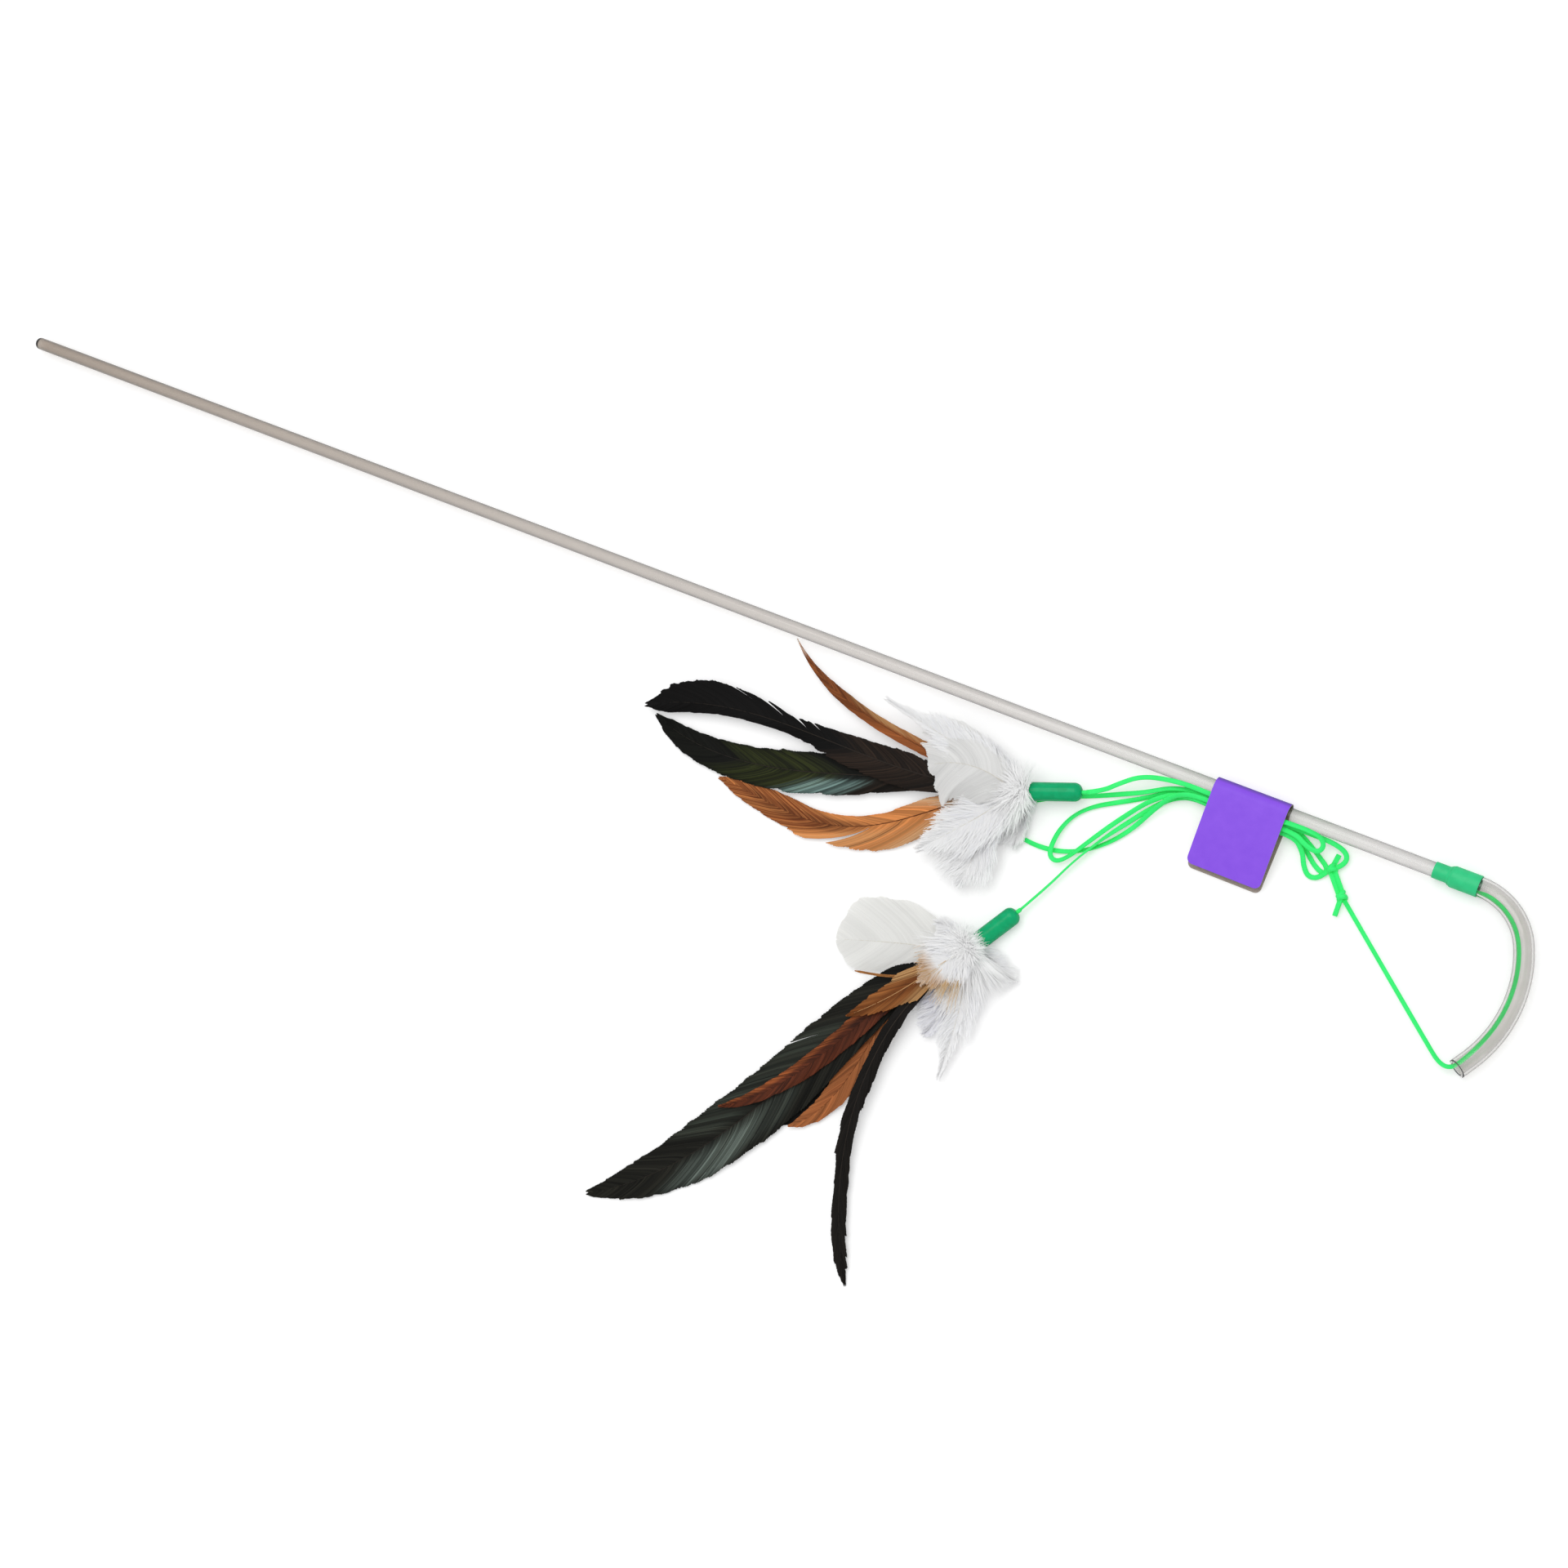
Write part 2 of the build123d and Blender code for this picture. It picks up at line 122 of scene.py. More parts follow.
# %% Floor
floor_z = -3.475 * MM
floor_gap = 0.02 * MM
floor_size = 8
paper_glow = 0.3
bpy.ops.object.select_all(action="DESELECT")
bpy.ops.mesh.primitive_plane_add(size=floor_size, location=(0.4, -0.05, floor_z - floor_gap))
floor = bpy.context.active_object
floor.name = "paper_floor"

paper = empty_material("white_paper")
tree = paper.node_tree
rays = add_node(tree, "ShaderNodeLightPath")
seen = add_node(tree, "ShaderNodeMath", {
    0: rays.outputs["Is Camera Ray"], 1: rays.outputs["Is Transmission Ray"]}, operation="MAXIMUM")
lift = add_node(tree, "ShaderNodeMath", {0: seen.outputs[0], 1: paper_glow}, operation="MULTIPLY")
matte = add_node(tree, "ShaderNodeBsdfDiffuse", {"Color": linear("#E6E6E6")})
glow = add_node(tree, "ShaderNodeEmission", {"Strength": lift.outputs[0]})
both = add_node(tree, "ShaderNodeAddShader", {0: matte.outputs[0], 1: glow.outputs[0]})
add_node(tree, "ShaderNodeOutputMaterial", {"Surface": both.outputs[0]})
floor.data.materials.append(paper)
print("floor at", round(floor_z / MM, 3), "mm")

# %% Room and lamp
room_level = 0.72
world = bpy.data.worlds.new("studio")
world.use_nodes = True
tree = world.node_tree
tree.nodes.clear()
rays = add_node(tree, "ShaderNodeLightPath")
level = add_node(tree, "ShaderNodeMapRange", {
    "Value": rays.outputs["Is Camera Ray"], "To Min": room_level, "To Max": 1.0})
sky = add_node(tree, "ShaderNodeBackground", {"Color": linear("#FFFFFF"), "Strength": level.outputs[0]})
add_node(tree, "ShaderNodeOutputWorld", {"Surface": sky.outputs[0]})
bpy.context.scene.world = world

lamp_place = Vector((0.3, 0.35, 1.5))
lamp_aim = Vector((0.42, -0.05, 0))
lamp = bpy.data.lights.new("key_lamp", "AREA")
lamp.size = 1.3
lamp.energy = 10.0
lamp_holder = bpy.data.objects.new("key_lamp", lamp)
lamp_holder.location = lamp_place
lamp_holder.rotation_euler = (lamp_aim - lamp_place).to_track_quat("-Z", "Y").to_euler()
bpy.context.scene.collection.objects.link(lamp_holder)
print("lamp:", lamp.size, "m square,", lamp.energy, "W")

# %% [markdown]
# ## Clear plastics
# The rod is extruded acrylic and the tube is soft vinyl. Both are clear, with a grey cast, and Layer Weight darkens
# the glass at the edges to a rim colour: a painted shade for the dark refraction that clear plastic shows at its
# sides. The rod is painted browner towards the handle, a painted reflection of the dark surroundings seen through it,
# and the vinyl is faintly cloudy. A lamp's rays pass through instead of being stopped, so that the cord in the tube
# and the floor below are lit.

# %% Acrylic and vinyl
painted_brown_until = 520 * MM
cloud_size = 9 * MM


def clear_plastic(material, cast, rim, rim_shade_from, rim_shade_to, roughness, ior, shadow_tint):
    """Clear plastic whose cast turns to a darker rim colour, a painted shade, at the edges; lamp rays pass it with a
    tint.
    """
    tree = material.node_tree
    edge = add_node(tree, "ShaderNodeLayerWeight", {"Blend": 0.5})
    edge = add_node(tree, "ShaderNodeMapRange", {
        "Value": edge.outputs["Facing"], "From Min": rim_shade_from, "From Max": rim_shade_to})
    clear = add_node(tree, "ShaderNodeMix", {0: edge.outputs[0], 6: cast, 7: rim}, data_type="RGBA")
    shader = add_node(tree, "ShaderNodeBsdfPrincipled", {
        "Base Color": clear.outputs[2], "Roughness": roughness, "IOR": ior, "Transmission Weight": 1.0})
    rays = add_node(tree, "ShaderNodeLightPath")
    passed = add_node(tree, "ShaderNodeBsdfTransparent", {"Color": linear(shadow_tint)})
    lit = add_node(tree, "ShaderNodeMixShader", {
        0: rays.outputs["Is Shadow Ray"], 1: shader.outputs[0], 2: passed.outputs[0]})
    add_node(tree, "ShaderNodeOutputMaterial", {"Surface": lit.outputs[0]})


acrylic = empty_material("extruded_acrylic")
tree = acrylic.node_tree
place = add_node(tree, "ShaderNodeTexCoord")
axes = add_node(tree, "ShaderNodeSeparateXYZ", {0: place.outputs["Object"]})
# Painted reflection: the cast browns towards the handle, as dark surroundings look through a clear rod. The rim
# colours are painted shade at the rod's edges.
down_rod = add_node(tree, "ShaderNodeMapRange", {"Value": axes.outputs["X"], "From Max": painted_brown_until})
cast = add_node(tree, "ShaderNodeMix", {0: down_rod.outputs[0], 6: linear("#C2B6AA"), 7: linear("#E2E1E0")},
                data_type="RGBA")
rim = add_node(tree, "ShaderNodeMix", {0: down_rod.outputs[0], 6: linear("#5E5853"), 7: linear("#8C8B8B")},
               data_type="RGBA")
clear_plastic(acrylic, cast.outputs[2], rim.outputs[2], rim_shade_from=0.1, rim_shade_to=0.62, roughness=0.1, ior=1.49,
              shadow_tint="#DAD6D3")

vinyl = empty_material("clear_soft_vinyl")
tree = vinyl.node_tree
place = add_node(tree, "ShaderNodeTexCoord")
cloud = add_node(tree, "ShaderNodeTexNoise", {0: place.outputs["Object"], "Scale": 1 / cloud_size, "Detail": 2.0})
cast = add_node(tree, "ShaderNodeMix", {0: cloud.outputs[0], 6: linear("#F1F0EF"), 7: linear("#E7E5E3")},
                data_type="RGBA")
# The rim colour is painted shade at the tube's edges.
clear_plastic(vinyl, cast.outputs[2], linear("#A29F9C"), rim_shade_from=0.2, rim_shade_to=0.85, roughness=0.12, ior=1.42,
              shadow_tint="#E6E4E2")


def dress(node, material):
    """Gives a CAD node its finish."""
    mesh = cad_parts[node].data
    mesh.materials.clear()
    mesh.materials.append(material)


dress("rod", acrylic)
dress("flexible_tube", vinyl)
print("clear:", acrylic.name, vinyl.name)

# %% [markdown]
# ## The tube's cut end
# The tube's cut end shows as a dark grey ring, a painted shade for the dark look of the clear wall at the mouth. The
# ring is a torus nearly as wide as the tube's wall, pressed flat and set on the tube's mouth. The camera looks a
# little into the mouth, so the ring leans back from the square end by 22 degrees.

# %% Dark ring at the mouth, painted shade
mouth_at = Vector((624.8, -54.4, 0)) * MM
mouth_way = Vector((-0.477, -0.794, 0.375))
rim_r = 2.78 * MM
rim_thick_r = 0.36 * MM
rim_flat = 0.35

mouth_shade = empty_material("painted_mouth_shade")
tree = mouth_shade.node_tree
# Painted shade: the ring's dark grey stands for the shade in the clear wall at the cut end.
shader = add_node(tree, "ShaderNodeBsdfPrincipled", {
    "Base Color": linear("#5E6264"), "Roughness": 0.4, "Transmission Weight": 0.35, "IOR": 1.42})
add_node(tree, "ShaderNodeOutputMaterial", {"Surface": shader.outputs[0]})

bpy.ops.object.select_all(action="DESELECT")
bpy.ops.mesh.primitive_torus_add(
    major_radius=rim_r, minor_radius=rim_thick_r, major_segments=64, minor_segments=12)
rim = bpy.context.active_object
rim.name = "tube_cut_rim"
rim.scale = (1, 1, rim_flat)
bpy.ops.object.transform_apply(location=False, rotation=False, scale=True)
rim.rotation_euler = mouth_way.to_track_quat("Z", "Y").to_euler()
rim.location = mouth_at
bpy.ops.object.transform_apply(location=True, rotation=True, scale=True)
bpy.ops.object.shade_smooth()
rim.data.materials.append(mouth_shade)
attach(rim, "wand")
print("rim:", [round(v / MM, 2) for v in rim.dimensions])

# %% [markdown]
# ## Green plastics and glue
# The sleeve is heat-shrink tubing: satin, with a soft mottle and small ripples where it drew in. The caps are dipped
# vinyl: darker, glossy and nearly smooth. The hot glue in the caps is milky and half clear. All keep their CAD shape
# and get a finish. They differ only in values, so one function makes them: noise of a real size moves the colour
# between two tones, and the same noise gives the relief.

# %% Heat-shrink, dipped vinyl and glue


def mottled(name, patch, detail, colours, surface, ripple=None):
    """A material of two tones in patches of this size; ripple is the strength and the depth of its relief."""
    material = empty_material(name)
    tree = material.node_tree
    place = add_node(tree, "ShaderNodeTexCoord")
    mottle = add_node(tree, "ShaderNodeTexNoise", {
        0: place.outputs["Object"], "Scale": 1 / patch, "Detail": detail})
    tone = add_node(tree, "ShaderNodeMix", {
        0: mottle.outputs[0], 6: linear(colours[0]), 7: linear(colours[1])}, data_type="RGBA")
    shader = add_node(tree, "ShaderNodeBsdfPrincipled", {"Base Color": tone.outputs[2], **surface})
    if ripple:
        relief = add_node(tree, "ShaderNodeBump", {
            "Height": mottle.outputs[0], "Strength": ripple[0], "Distance": ripple[1]})
        tree.links.new(relief.outputs[0], shader.inputs["Normal"])
    add_node(tree, "ShaderNodeOutputMaterial", {"Surface": shader.outputs[0]})
    return material


shrink = mottled("heat_shrink_tubing", patch=3 * MM, detail=4.0, colours=("#0CB770", "#2CD88F"),
                 surface={"Roughness": 0.48, "IOR": 1.47}, ripple=(0.35, 0.4 * MM))
dipped = mottled("dipped_vinyl", patch=2.5 * MM, detail=2.0, colours=("#00935A", "#00B878"),
                 surface={"Roughness": 0.2, "Specular IOR Level": 0.2}, ripple=(0.2, 0.25 * MM))
glue = mottled("set_hot_glue", patch=1.5 * MM, detail=2.0, colours=("#D9D6CC", "#EDEBE4"),
               surface={"Roughness": 0.3, "Transmission Weight": 0.4})
for node, material in (("sleeve", shrink), ("cap_a", dipped), ("cap_b", dipped),
                       ("glue_plug_a", glue), ("glue_plug_b", glue)):
    dress(node, material)
print("green:", shrink.name, dipped.name, "and", glue.name)

# %% [markdown]
# ## Elastic cord
# The cord is flat braided elastic in a bright green, 1.65 mm wide, 0.7 mm thick and a little narrower where it is
# taut. It follows the CAD model's route, with some points moved to lie as in the photo, on a smooth NURBS line that
# has the route's points as control points. A round bevel would make it a wire, so a flat section with rounded edges
# is carried along the line, and it turns slowly as it goes.

# %% Elastic finish
# A real braid is finer than this; ribs and crossings this far apart still show in the picture
rib_gap = 0.5 * MM
crossing_gap = 0.9 * MM
wave_repeat = 2 * math.pi / 20  # the length after which Blender's wave repeats, at a scale of 1
worn_patch = 7 * MM
elastic = empty_material("braided_elastic")
tree = elastic.node_tree
laid = add_node(tree, "ShaderNodeUVMap", uv_map="along_cord")
ribs = add_node(tree, "ShaderNodeTexWave", {
    0: laid.outputs[0], "Scale": wave_repeat / rib_gap, "Distortion": 0.4}, bands_direction="X")
weave = add_node(tree, "ShaderNodeTexWave", {
    0: laid.outputs[0], "Scale": wave_repeat / crossing_gap, "Distortion": 1.5}, bands_direction="Y")
worn = add_node(tree, "ShaderNodeTexNoise", {0: laid.outputs[0], "Scale": 1 / worn_patch, "Detail": 2.0})
green = add_node(tree, "ShaderNodeMix", {0: worn.outputs[0], 6: linear("#12EE66"), 7: linear("#2CFF80")},
                 data_type="RGBA")
rough = add_node(tree, "ShaderNodeMath", {0: ribs.outputs[1], 1: weave.outputs[1]}, operation="ADD")
ripple = add_node(tree, "ShaderNodeBump", {"Height": rough.outputs[0], "Strength": 0.35, "Distance": 0.12 * MM})
shader = add_node(tree, "ShaderNodeBsdfPrincipled", {
    "Base Color": green.outputs[2], "Roughness": 0.62, "Sheen Weight": 0.15, "Normal": ripple.outputs[0]})
add_node(tree, "ShaderNodeOutputMaterial", {"Surface": shader.outputs[0]})
for node in ("stop_knot_a", "stop_knot_b"):
    dress(node, elastic)
print("cord finish:", elastic.name)

# %% The cords' routes
main_route = [
    (602.8, -2.38, 0), (609.0, -2.3, 0), (614.3, -1.5, 0), (621.1, -4.3, 0), (626.4, -9.4, 0), (629.9, -17.2, 0),
    (631.6, -26.8, 0), (631.0, -36.6, 0), (628.1, -45.9, 0), (624.8, -52.6, -0.1), (622.6, -55.2, -0.2),
    (619.2, -55.0, -0.3), (614.4, -51.5, -0.4), (573.2, -18.7, -1.7),
]
lead_a_route = [
    (567.2, -10.5, -1.74), (569.6, -8.4, -1.7), (569.2, -5.0, -1.4), (564.6, -3.4, -0.9), (558.0, -3.2, -0.5),
    (551.5, -3.3, -0.3), (534.0, -3.8, -0.4), (517.0, -3.4, -0.3), (508.5, -5.2, -0.6), (501.0, -9.6, -1.4),
    (494.0, -12.7, -2.2), (486.0, -16.3, -2.75), (478.5, -19.3, -2.75), (471.0, -22.6, -2.75),
    (464.3, -26.8, -2.75), (460.0, -31.6, -2.75), (461.4, -36.4, -2.75), (467.5, -38.6, -2.75),
    (475.0, -39.0, -2.75), (482.6, -37.6, -2.75), (489.6, -34.2, -2.75), (496.0, -28.9, -2.75),
    (501.5, -21.8, -2.3), (505.6, -14.6, -0.4), (510.4, -7.4, 1.3), (517.0, -4.7, 1.2), (534.0, -5.6, 1.1),
    (551.5, -4.7, 1.1), (556.4, -7.4, 0.9), (560.6, -8.2, 0.9), (562.0, -5.6, 1.1), (560.0, -3.2, 1.5),
    (556.2, -2.7, 1.9), (551.5, -2.6, 2.1), (534.0, -3.4, 1.8), (517.0, -2.6, 2.1), (508.0, -3.1, 1.9),
    (498.4, -5.3, 1.6), (492.2, -10.4, 1.65), (488.4, -14.2, 1.69), (483.41, -16.7, 1.675),
]
lead_b_route = [
    (565.5, -11.9, -1.8), (563.6, -15.2, -2.7), (560.0, -16.2, -2.75), (557.4, -13.2, -1.9), (556.0, -9.6, -0.8),
    (551.5, -5.6, -0.1), (534.0, -7.5, -0.25), (517.0, -5.5, 0.0), (509.5, -7.1, -0.6), (503.0, -12.2, -1.0),
    (498.0, -18.8, -1.0), (493.0, -26.0, -0.95), (488.6, -33.0, -0.95), (484.8, -39.0, -0.95),
    (481.6, -41.6, -0.95), (478.9, -40.4, -0.95), (478.2, -36.6, -1.0), (478.6, -31.0, -1.8), (481.0, -25.0, -2.5),
    (486.0, -20.0, -2.75), (493.0, -16.0, -2.75), (500.5, -11.8, -2.7), (508.0, -6.7, -2.4), (515.5, -3.5, -2.12),
    (534.0, -5.6, -2.1), (551.5, -3.5, -2.12), (557.0, -6.4, -2.5), (561.4, -9.2, -2.75), (564.8, -11.4, -2.75),
    (564.4, -13.6, -2.75), (561.0, -12.4, -2.75), (557.8, -9.8, -2.75), (555.0, -7.4, -2.7),
    (551.5, -5.3, -2.12), (534.0, -7.6, -2.1), (517.0, -5.4, -2.12), (510.0, -7.9, -2.5), (504.4, -13.6, -2.7),
    (499.5, -20.4, -2.0), (494.6, -27.4, -1.05), (490.2, -34.3, -0.95), (486.4, -41.2, -1.0), (483.2, -48.2, -1.2),
    (480.1, -54.4, -0.8), (476.99, -60.52, -0.325),
]
lower_knot_at = np.array((572.3, -18.1, -1.74)) * MM
upper_knot_at = np.array((566.2, -11.1, -1.74)) * MM
print("route points:", len(main_route), len(lead_a_route), len(lead_b_route))

# %% Smooth lines along the routes


def smooth_line(route):
    """Points along the NURBS line that has the route's points as its control points."""
    curve = bpy.data.curves.new("route", "CURVE")
    curve.dimensions = "3D"
    spline = curve.splines.new("NURBS")
    spline.points.add(len(route) - 1)
    for point, place in zip(spline.points, route):
        point.co = (*(Vector(place) * MM), 1.0)
    spline.order_u = 3
    spline.use_endpoint_u = True
    spline.resolution_u = 10
    holder = bpy.data.objects.new("route", curve)
    bpy.context.scene.collection.objects.link(holder)
    bpy.context.view_layer.update()
    mesh = bpy.data.meshes.new_from_object(holder)
    line = np.array([v.co for v in mesh.vertices])
    bpy.data.objects.remove(holder)
    bpy.data.curves.remove(curve)
    bpy.data.meshes.remove(mesh)
    return line


def walk_along(line):
    """How far along a line each of its points is."""
    return np.concatenate([[0], np.cumsum(np.linalg.norm(np.diff(line, axis=0), axis=1))])


main_line = smooth_line(main_route)
lead_a_line = smooth_line(lead_a_route)
lead_b_line = smooth_line(lead_b_route)
print("points along the cords:", len(main_line), len(lead_a_line), len(lead_b_line))

# %% Ribbons along the lines
cord_wide = 1.65 * MM
taut_wide = 1.45 * MM
cord_thick = 0.7 * MM
edge_round = 0.6  # below 1, the section's corners are fuller than an ellipse's
last_from, last_over = 0.84, 0.08  # a cord's last turn starts at this share of its length and takes this share
section_points = 12


def new_piece(name, vertices, faces, material):
    """A mesh object at the origin, smooth all over, with one finish."""
    mesh = bpy.data.meshes.new(name)
    mesh.from_pydata(vertices, [], faces)
    mesh.materials.append(material)
    mesh.polygons.foreach_set("use_smooth", [True] * len(mesh.polygons))
    piece = bpy.data.objects.new(name, mesh)
    bpy.context.scene.collection.objects.link(piece)
    return piece


def ribbon(name, line, twist, wide=cord_wide, thick=cord_thick):
    """A flat elastic strip along a line; twist gives its turn about the line, in radians, at each point."""
    ways = np.gradient(line, axis=0)
    ways /= np.linalg.norm(ways, axis=1)[:, None]
    flat = np.cross((0, 0, 1), ways)
    flat /= np.linalg.norm(flat, axis=1)[:, None]
    tall = np.cross(ways, flat)
    turned_flat = flat * np.cos(twist)[:, None] + tall * np.sin(twist)[:, None]
    turned_tall = tall * np.cos(twist)[:, None] - flat * np.sin(twist)[:, None]
    angles = np.linspace(0, 2 * math.pi, section_points, endpoint=False)
    across = np.sign(np.cos(angles)) * np.abs(np.cos(angles)) ** edge_round * wide / 2
    through = np.sign(np.sin(angles)) * np.abs(np.sin(angles)) ** edge_round * thick / 2
    rings = line[:, None] + turned_flat[:, None] * across[:, None] + turned_tall[:, None] * through[:, None]
    count = len(angles)
    faces = []
    for n in range(len(line) - 1):
        for k in range(count):
            ahead = (k + 1) % count
            faces.append((n * count + k, n * count + ahead, (n + 1) * count + ahead, (n + 1) * count + k))
    faces.append(tuple(range(count))[::-1])
    faces.append(tuple(range((len(line) - 1) * count, len(line) * count)))
    piece = new_piece(name, rings.reshape(-1, 3), faces, elastic)
    walked = walk_along(line)
    laid = piece.data.uv_layers.new(name="along_cord")
    for loop in piece.data.loops:
        n, k = divmod(loop.vertex_index, count)
        laid.data[loop.index].uv = (across[k] + through[k] * 0.3, walked[n])
    return piece, walked[-1]


def slow_turn(line, swing, wave, start, last=0.0):
    """A twist that sways to and fro along a cord and ends on its last value."""
    walked = walk_along(line)
    share = walked / walked[-1]
    sway = swing * np.sin(2 * math.pi * walked / wave + start) * np.sin(math.pi * share)
    return sway + last * np.clip((share - last_from) / last_over, 0, 1)


main_turn = slow_turn(main_line, swing=0.5, wave=70 * MM, start=0.4)
lead_a_turn = slow_turn(lead_a_line, swing=0.7, wave=61 * MM, start=1.0)
lead_b_turn = slow_turn(lead_b_line, swing=0.7, wave=53 * MM, start=2.2, last=1.1)  # nearly on edge at its cap
main_cord, main_length = ribbon("main_elastic", main_line, main_turn, taut_wide)
lead_a_cord, lead_a_length = ribbon("lead_elastic_a", lead_a_line, lead_a_turn)
lead_b_cord, lead_b_length = ribbon("lead_elastic_b", lead_b_line, lead_b_turn)
print("cords in mm:", [round(v / MM, 1) for v in (main_length, lead_a_length, lead_b_length)])

# %% [markdown]
# ## Knots
# Each knot is a small hard lump of two or three turns of the cord, with a cut tag end beside it. Three rings are set
# askew round the line from one knot to the other, a tag is drawn out of a block, and a voxel remesh and a smoothing
# pass melt them together, as a knot that was pulled tight looks. Two strands of cord run between the knots.

# %% Knots
knot_way = Vector(upper_knot_at - lower_knot_at).normalized()
turn_r = 1.15 * MM
turn_thick_r = 0.72 * MM
tag_wide = 1.65 * MM
tag_thick = 0.75 * MM
tag_roll = math.radians(24)
melt_size = 0.13 * MM
strand_wide = 1.5 * MM
strand_thick = 0.66 * MM
strand_aside = 0.72  # mm
strand_roll = 0.25
strand_points = 12


def tight_knot(name, at, tag_heading, tag_long):
    """Three askew turns of the cord with a tag end that leaves them flat on the floor."""
    bpy.ops.object.select_all(action="DESELECT")
    lean = knot_way.to_track_quat("Z", "Y").to_matrix().to_4x4()
    turns = []
    for tilt, spin, offset in ((0.45, 0.0, -0.75), (-0.5, 0.9, 0.0), (0.4, 2.2, 0.75)):
        bpy.ops.mesh.primitive_torus_add(
            major_radius=turn_r, minor_radius=turn_thick_r, major_segments=24, minor_segments=10)
        turn = bpy.context.active_object
        skew = Matrix.Rotation(spin, 4, "Z") @ Matrix.Rotation(tilt, 4, "X")
        turn.data.transform(Matrix.Translation(Vector(at) + knot_way * offset * MM) @ lean @ skew)
        turns.append(turn)
    bpy.ops.mesh.primitive_cube_add(size=1)
    tag = bpy.context.active_object
    bpy.ops.object.mode_set(mode="EDIT")
    bpy.ops.mesh.select_all(action="SELECT")
    bpy.ops.transform.resize(value=(tag_long, tag_wide, tag_thick))
    bpy.ops.mesh.subdivide(number_cuts=3)
    bpy.ops.object.mode_set(mode="OBJECT")
    aim = Matrix.Rotation(math.radians(tag_heading), 4, "Z") @ Matrix.Rotation(tag_roll, 4, "X")
    tag.data.transform(Matrix.Translation(Vector(at)) @ aim @ Matrix.Translation((tag_long / 2, 0, 0)))
    for turn in turns:
        turn.select_set(True)
    bpy.ops.object.join()
    melt = tag.modifiers.new("melt", "REMESH")
    melt.mode = "VOXEL"
    melt.voxel_size = melt_size
    bpy.ops.object.modifier_apply(modifier="melt")
    ease = tag.modifiers.new("ease", "SMOOTH")
    ease.factor = 0.5
    ease.iterations = 4
    bpy.ops.object.modifier_apply(modifier="ease")
    bpy.ops.object.shade_smooth()
    tag.data.materials.clear()
    tag.data.materials.append(elastic)
    tag.name = name
    laid = tag.data.uv_layers.get("along_cord") or tag.data.uv_layers.new(name="along_cord")
    for loop in tag.data.loops:
        spot = tag.data.vertices[loop.vertex_index].co
        laid.data[loop.index].uv = (spot.x, spot.y + spot.z)
    return tag


lower_knot_piece = tight_knot("lower_knot_turns", lower_knot_at, tag_heading=-87, tag_long=6.6 * MM)
upper_knot_piece = tight_knot("upper_knot_turns", upper_knot_at, tag_heading=84, tag_long=5.0 * MM)
beside = Vector((-knot_way.y, knot_way.x, 0)) * strand_aside * MM
strands = []
for name, side in (("near_strand", 1), ("far_strand", -1)):
    ends = [lower_knot_at + np.array(beside) * side, upper_knot_at + np.array(beside) * side]
    line = np.linspace(ends[0], ends[1], strand_points)
    strand, _ = ribbon(name, line, np.full(strand_points, strand_roll * side), strand_wide, strand_thick)
    strands.append(strand)
print("knots:", [len(k.data.polygons) for k in (lower_knot_piece, upper_knot_piece)], "faces")

for piece, nodes in (
    (main_cord, ["main_cord"]),
    (lead_a_cord, ["lead_a"]),
    (lead_b_cord, ["lead_b"]),
    (lower_knot_piece, ["lower_knot"]),
    (upper_knot_piece, ["upper_knot"]),
    (strands[0], ["near_link"]),
    (strands[1], ["far_link"]),
):
    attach(piece, "wand")
    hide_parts(*nodes)

# %% [markdown]
# ## Label
# The label is one strip of thin card, purple on the outside and bare grey-brown inside, folded round the rod. It is
# made as the real one is: a flat strip, drawn out edge by edge round the rod and down the front, its four corners
# rounded, then given the card's thickness with Solidify, which puts the bare card on the rim and the inside. A
# painted shade darkens the coat in a narrow line where the card turns over the rod.

# %% Card finishes
fold_shade_from, fold_shade_to = 1.8 * MM, 3.3 * MM
coat_patch = 4 * MM
card_grain = 0.8 * MM
coated = empty_material("coated_card")
tree = coated.node_tree
place = add_node(tree, "ShaderNodeTexCoord")
axes = add_node(tree, "ShaderNodeSeparateXYZ", {0: place.outputs["Object"]})
# Painted shade: the coat darkens to #5C34A8 in a narrow line along the fold over the rod.
painted_fold_shade = add_node(tree, "ShaderNodeMapRange", {
    "Value": axes.outputs["Y"], "From Min": fold_shade_from, "From Max": fold_shade_to}, interpolation_type="SMOOTHSTEP")
mottle = add_node(tree, "ShaderNodeTexNoise", {0: place.outputs["Object"], "Scale": 1 / coat_patch, "Detail": 4.0})
printed = add_node(tree, "ShaderNodeMix", {0: mottle.outputs[0], 6: linear("#7E42E0"), 7: linear("#8D52EA")},
                   data_type="RGBA")
shaded = add_node(tree, "ShaderNodeMix", {0: painted_fold_shade.outputs[0], 6: printed.outputs[2], 7: linear("#5C34A8")},
                  data_type="RGBA")
grain = add_node(tree, "ShaderNodeTexNoise", {0: place.outputs["Object"], "Scale": 1 / card_grain, "Detail": 3.0})
ripple = add_node(tree, "ShaderNodeBump", {"Height": grain.outputs[0], "Strength": 0.12, "Distance": 0.15 * MM})
shader = add_node(tree, "ShaderNodeBsdfPrincipled", {
    "Base Color": shaded.outputs[2], "Roughness": 0.5, "IOR": 1.45, "Normal": ripple.outputs[0]})
add_node(tree, "ShaderNodeOutputMaterial", {"Surface": shader.outputs[0]})

bare_card = mottled("bare_card_stock", patch=0.6 * MM, detail=4.0, colours=("#8D8078", "#B9AEA4"),
                    surface={"Roughness": 0.85})
print("card:", coated.name, bare_card.name)

# %% Folded card
card_low, card_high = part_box("label")
card_left, card_right = card_low[0], card_high[0]
fold_r = 3.475 * MM
card_thick = 0.4 * MM
front_slope = math.radians(8.5)
back_long = 27.1 * MM
front_long = 25.7 * MM
front_bulge = 0.35 * MM
corner_r = 2.1 * MM
fold_steps = 16
front_steps = 6
near = 1e-6

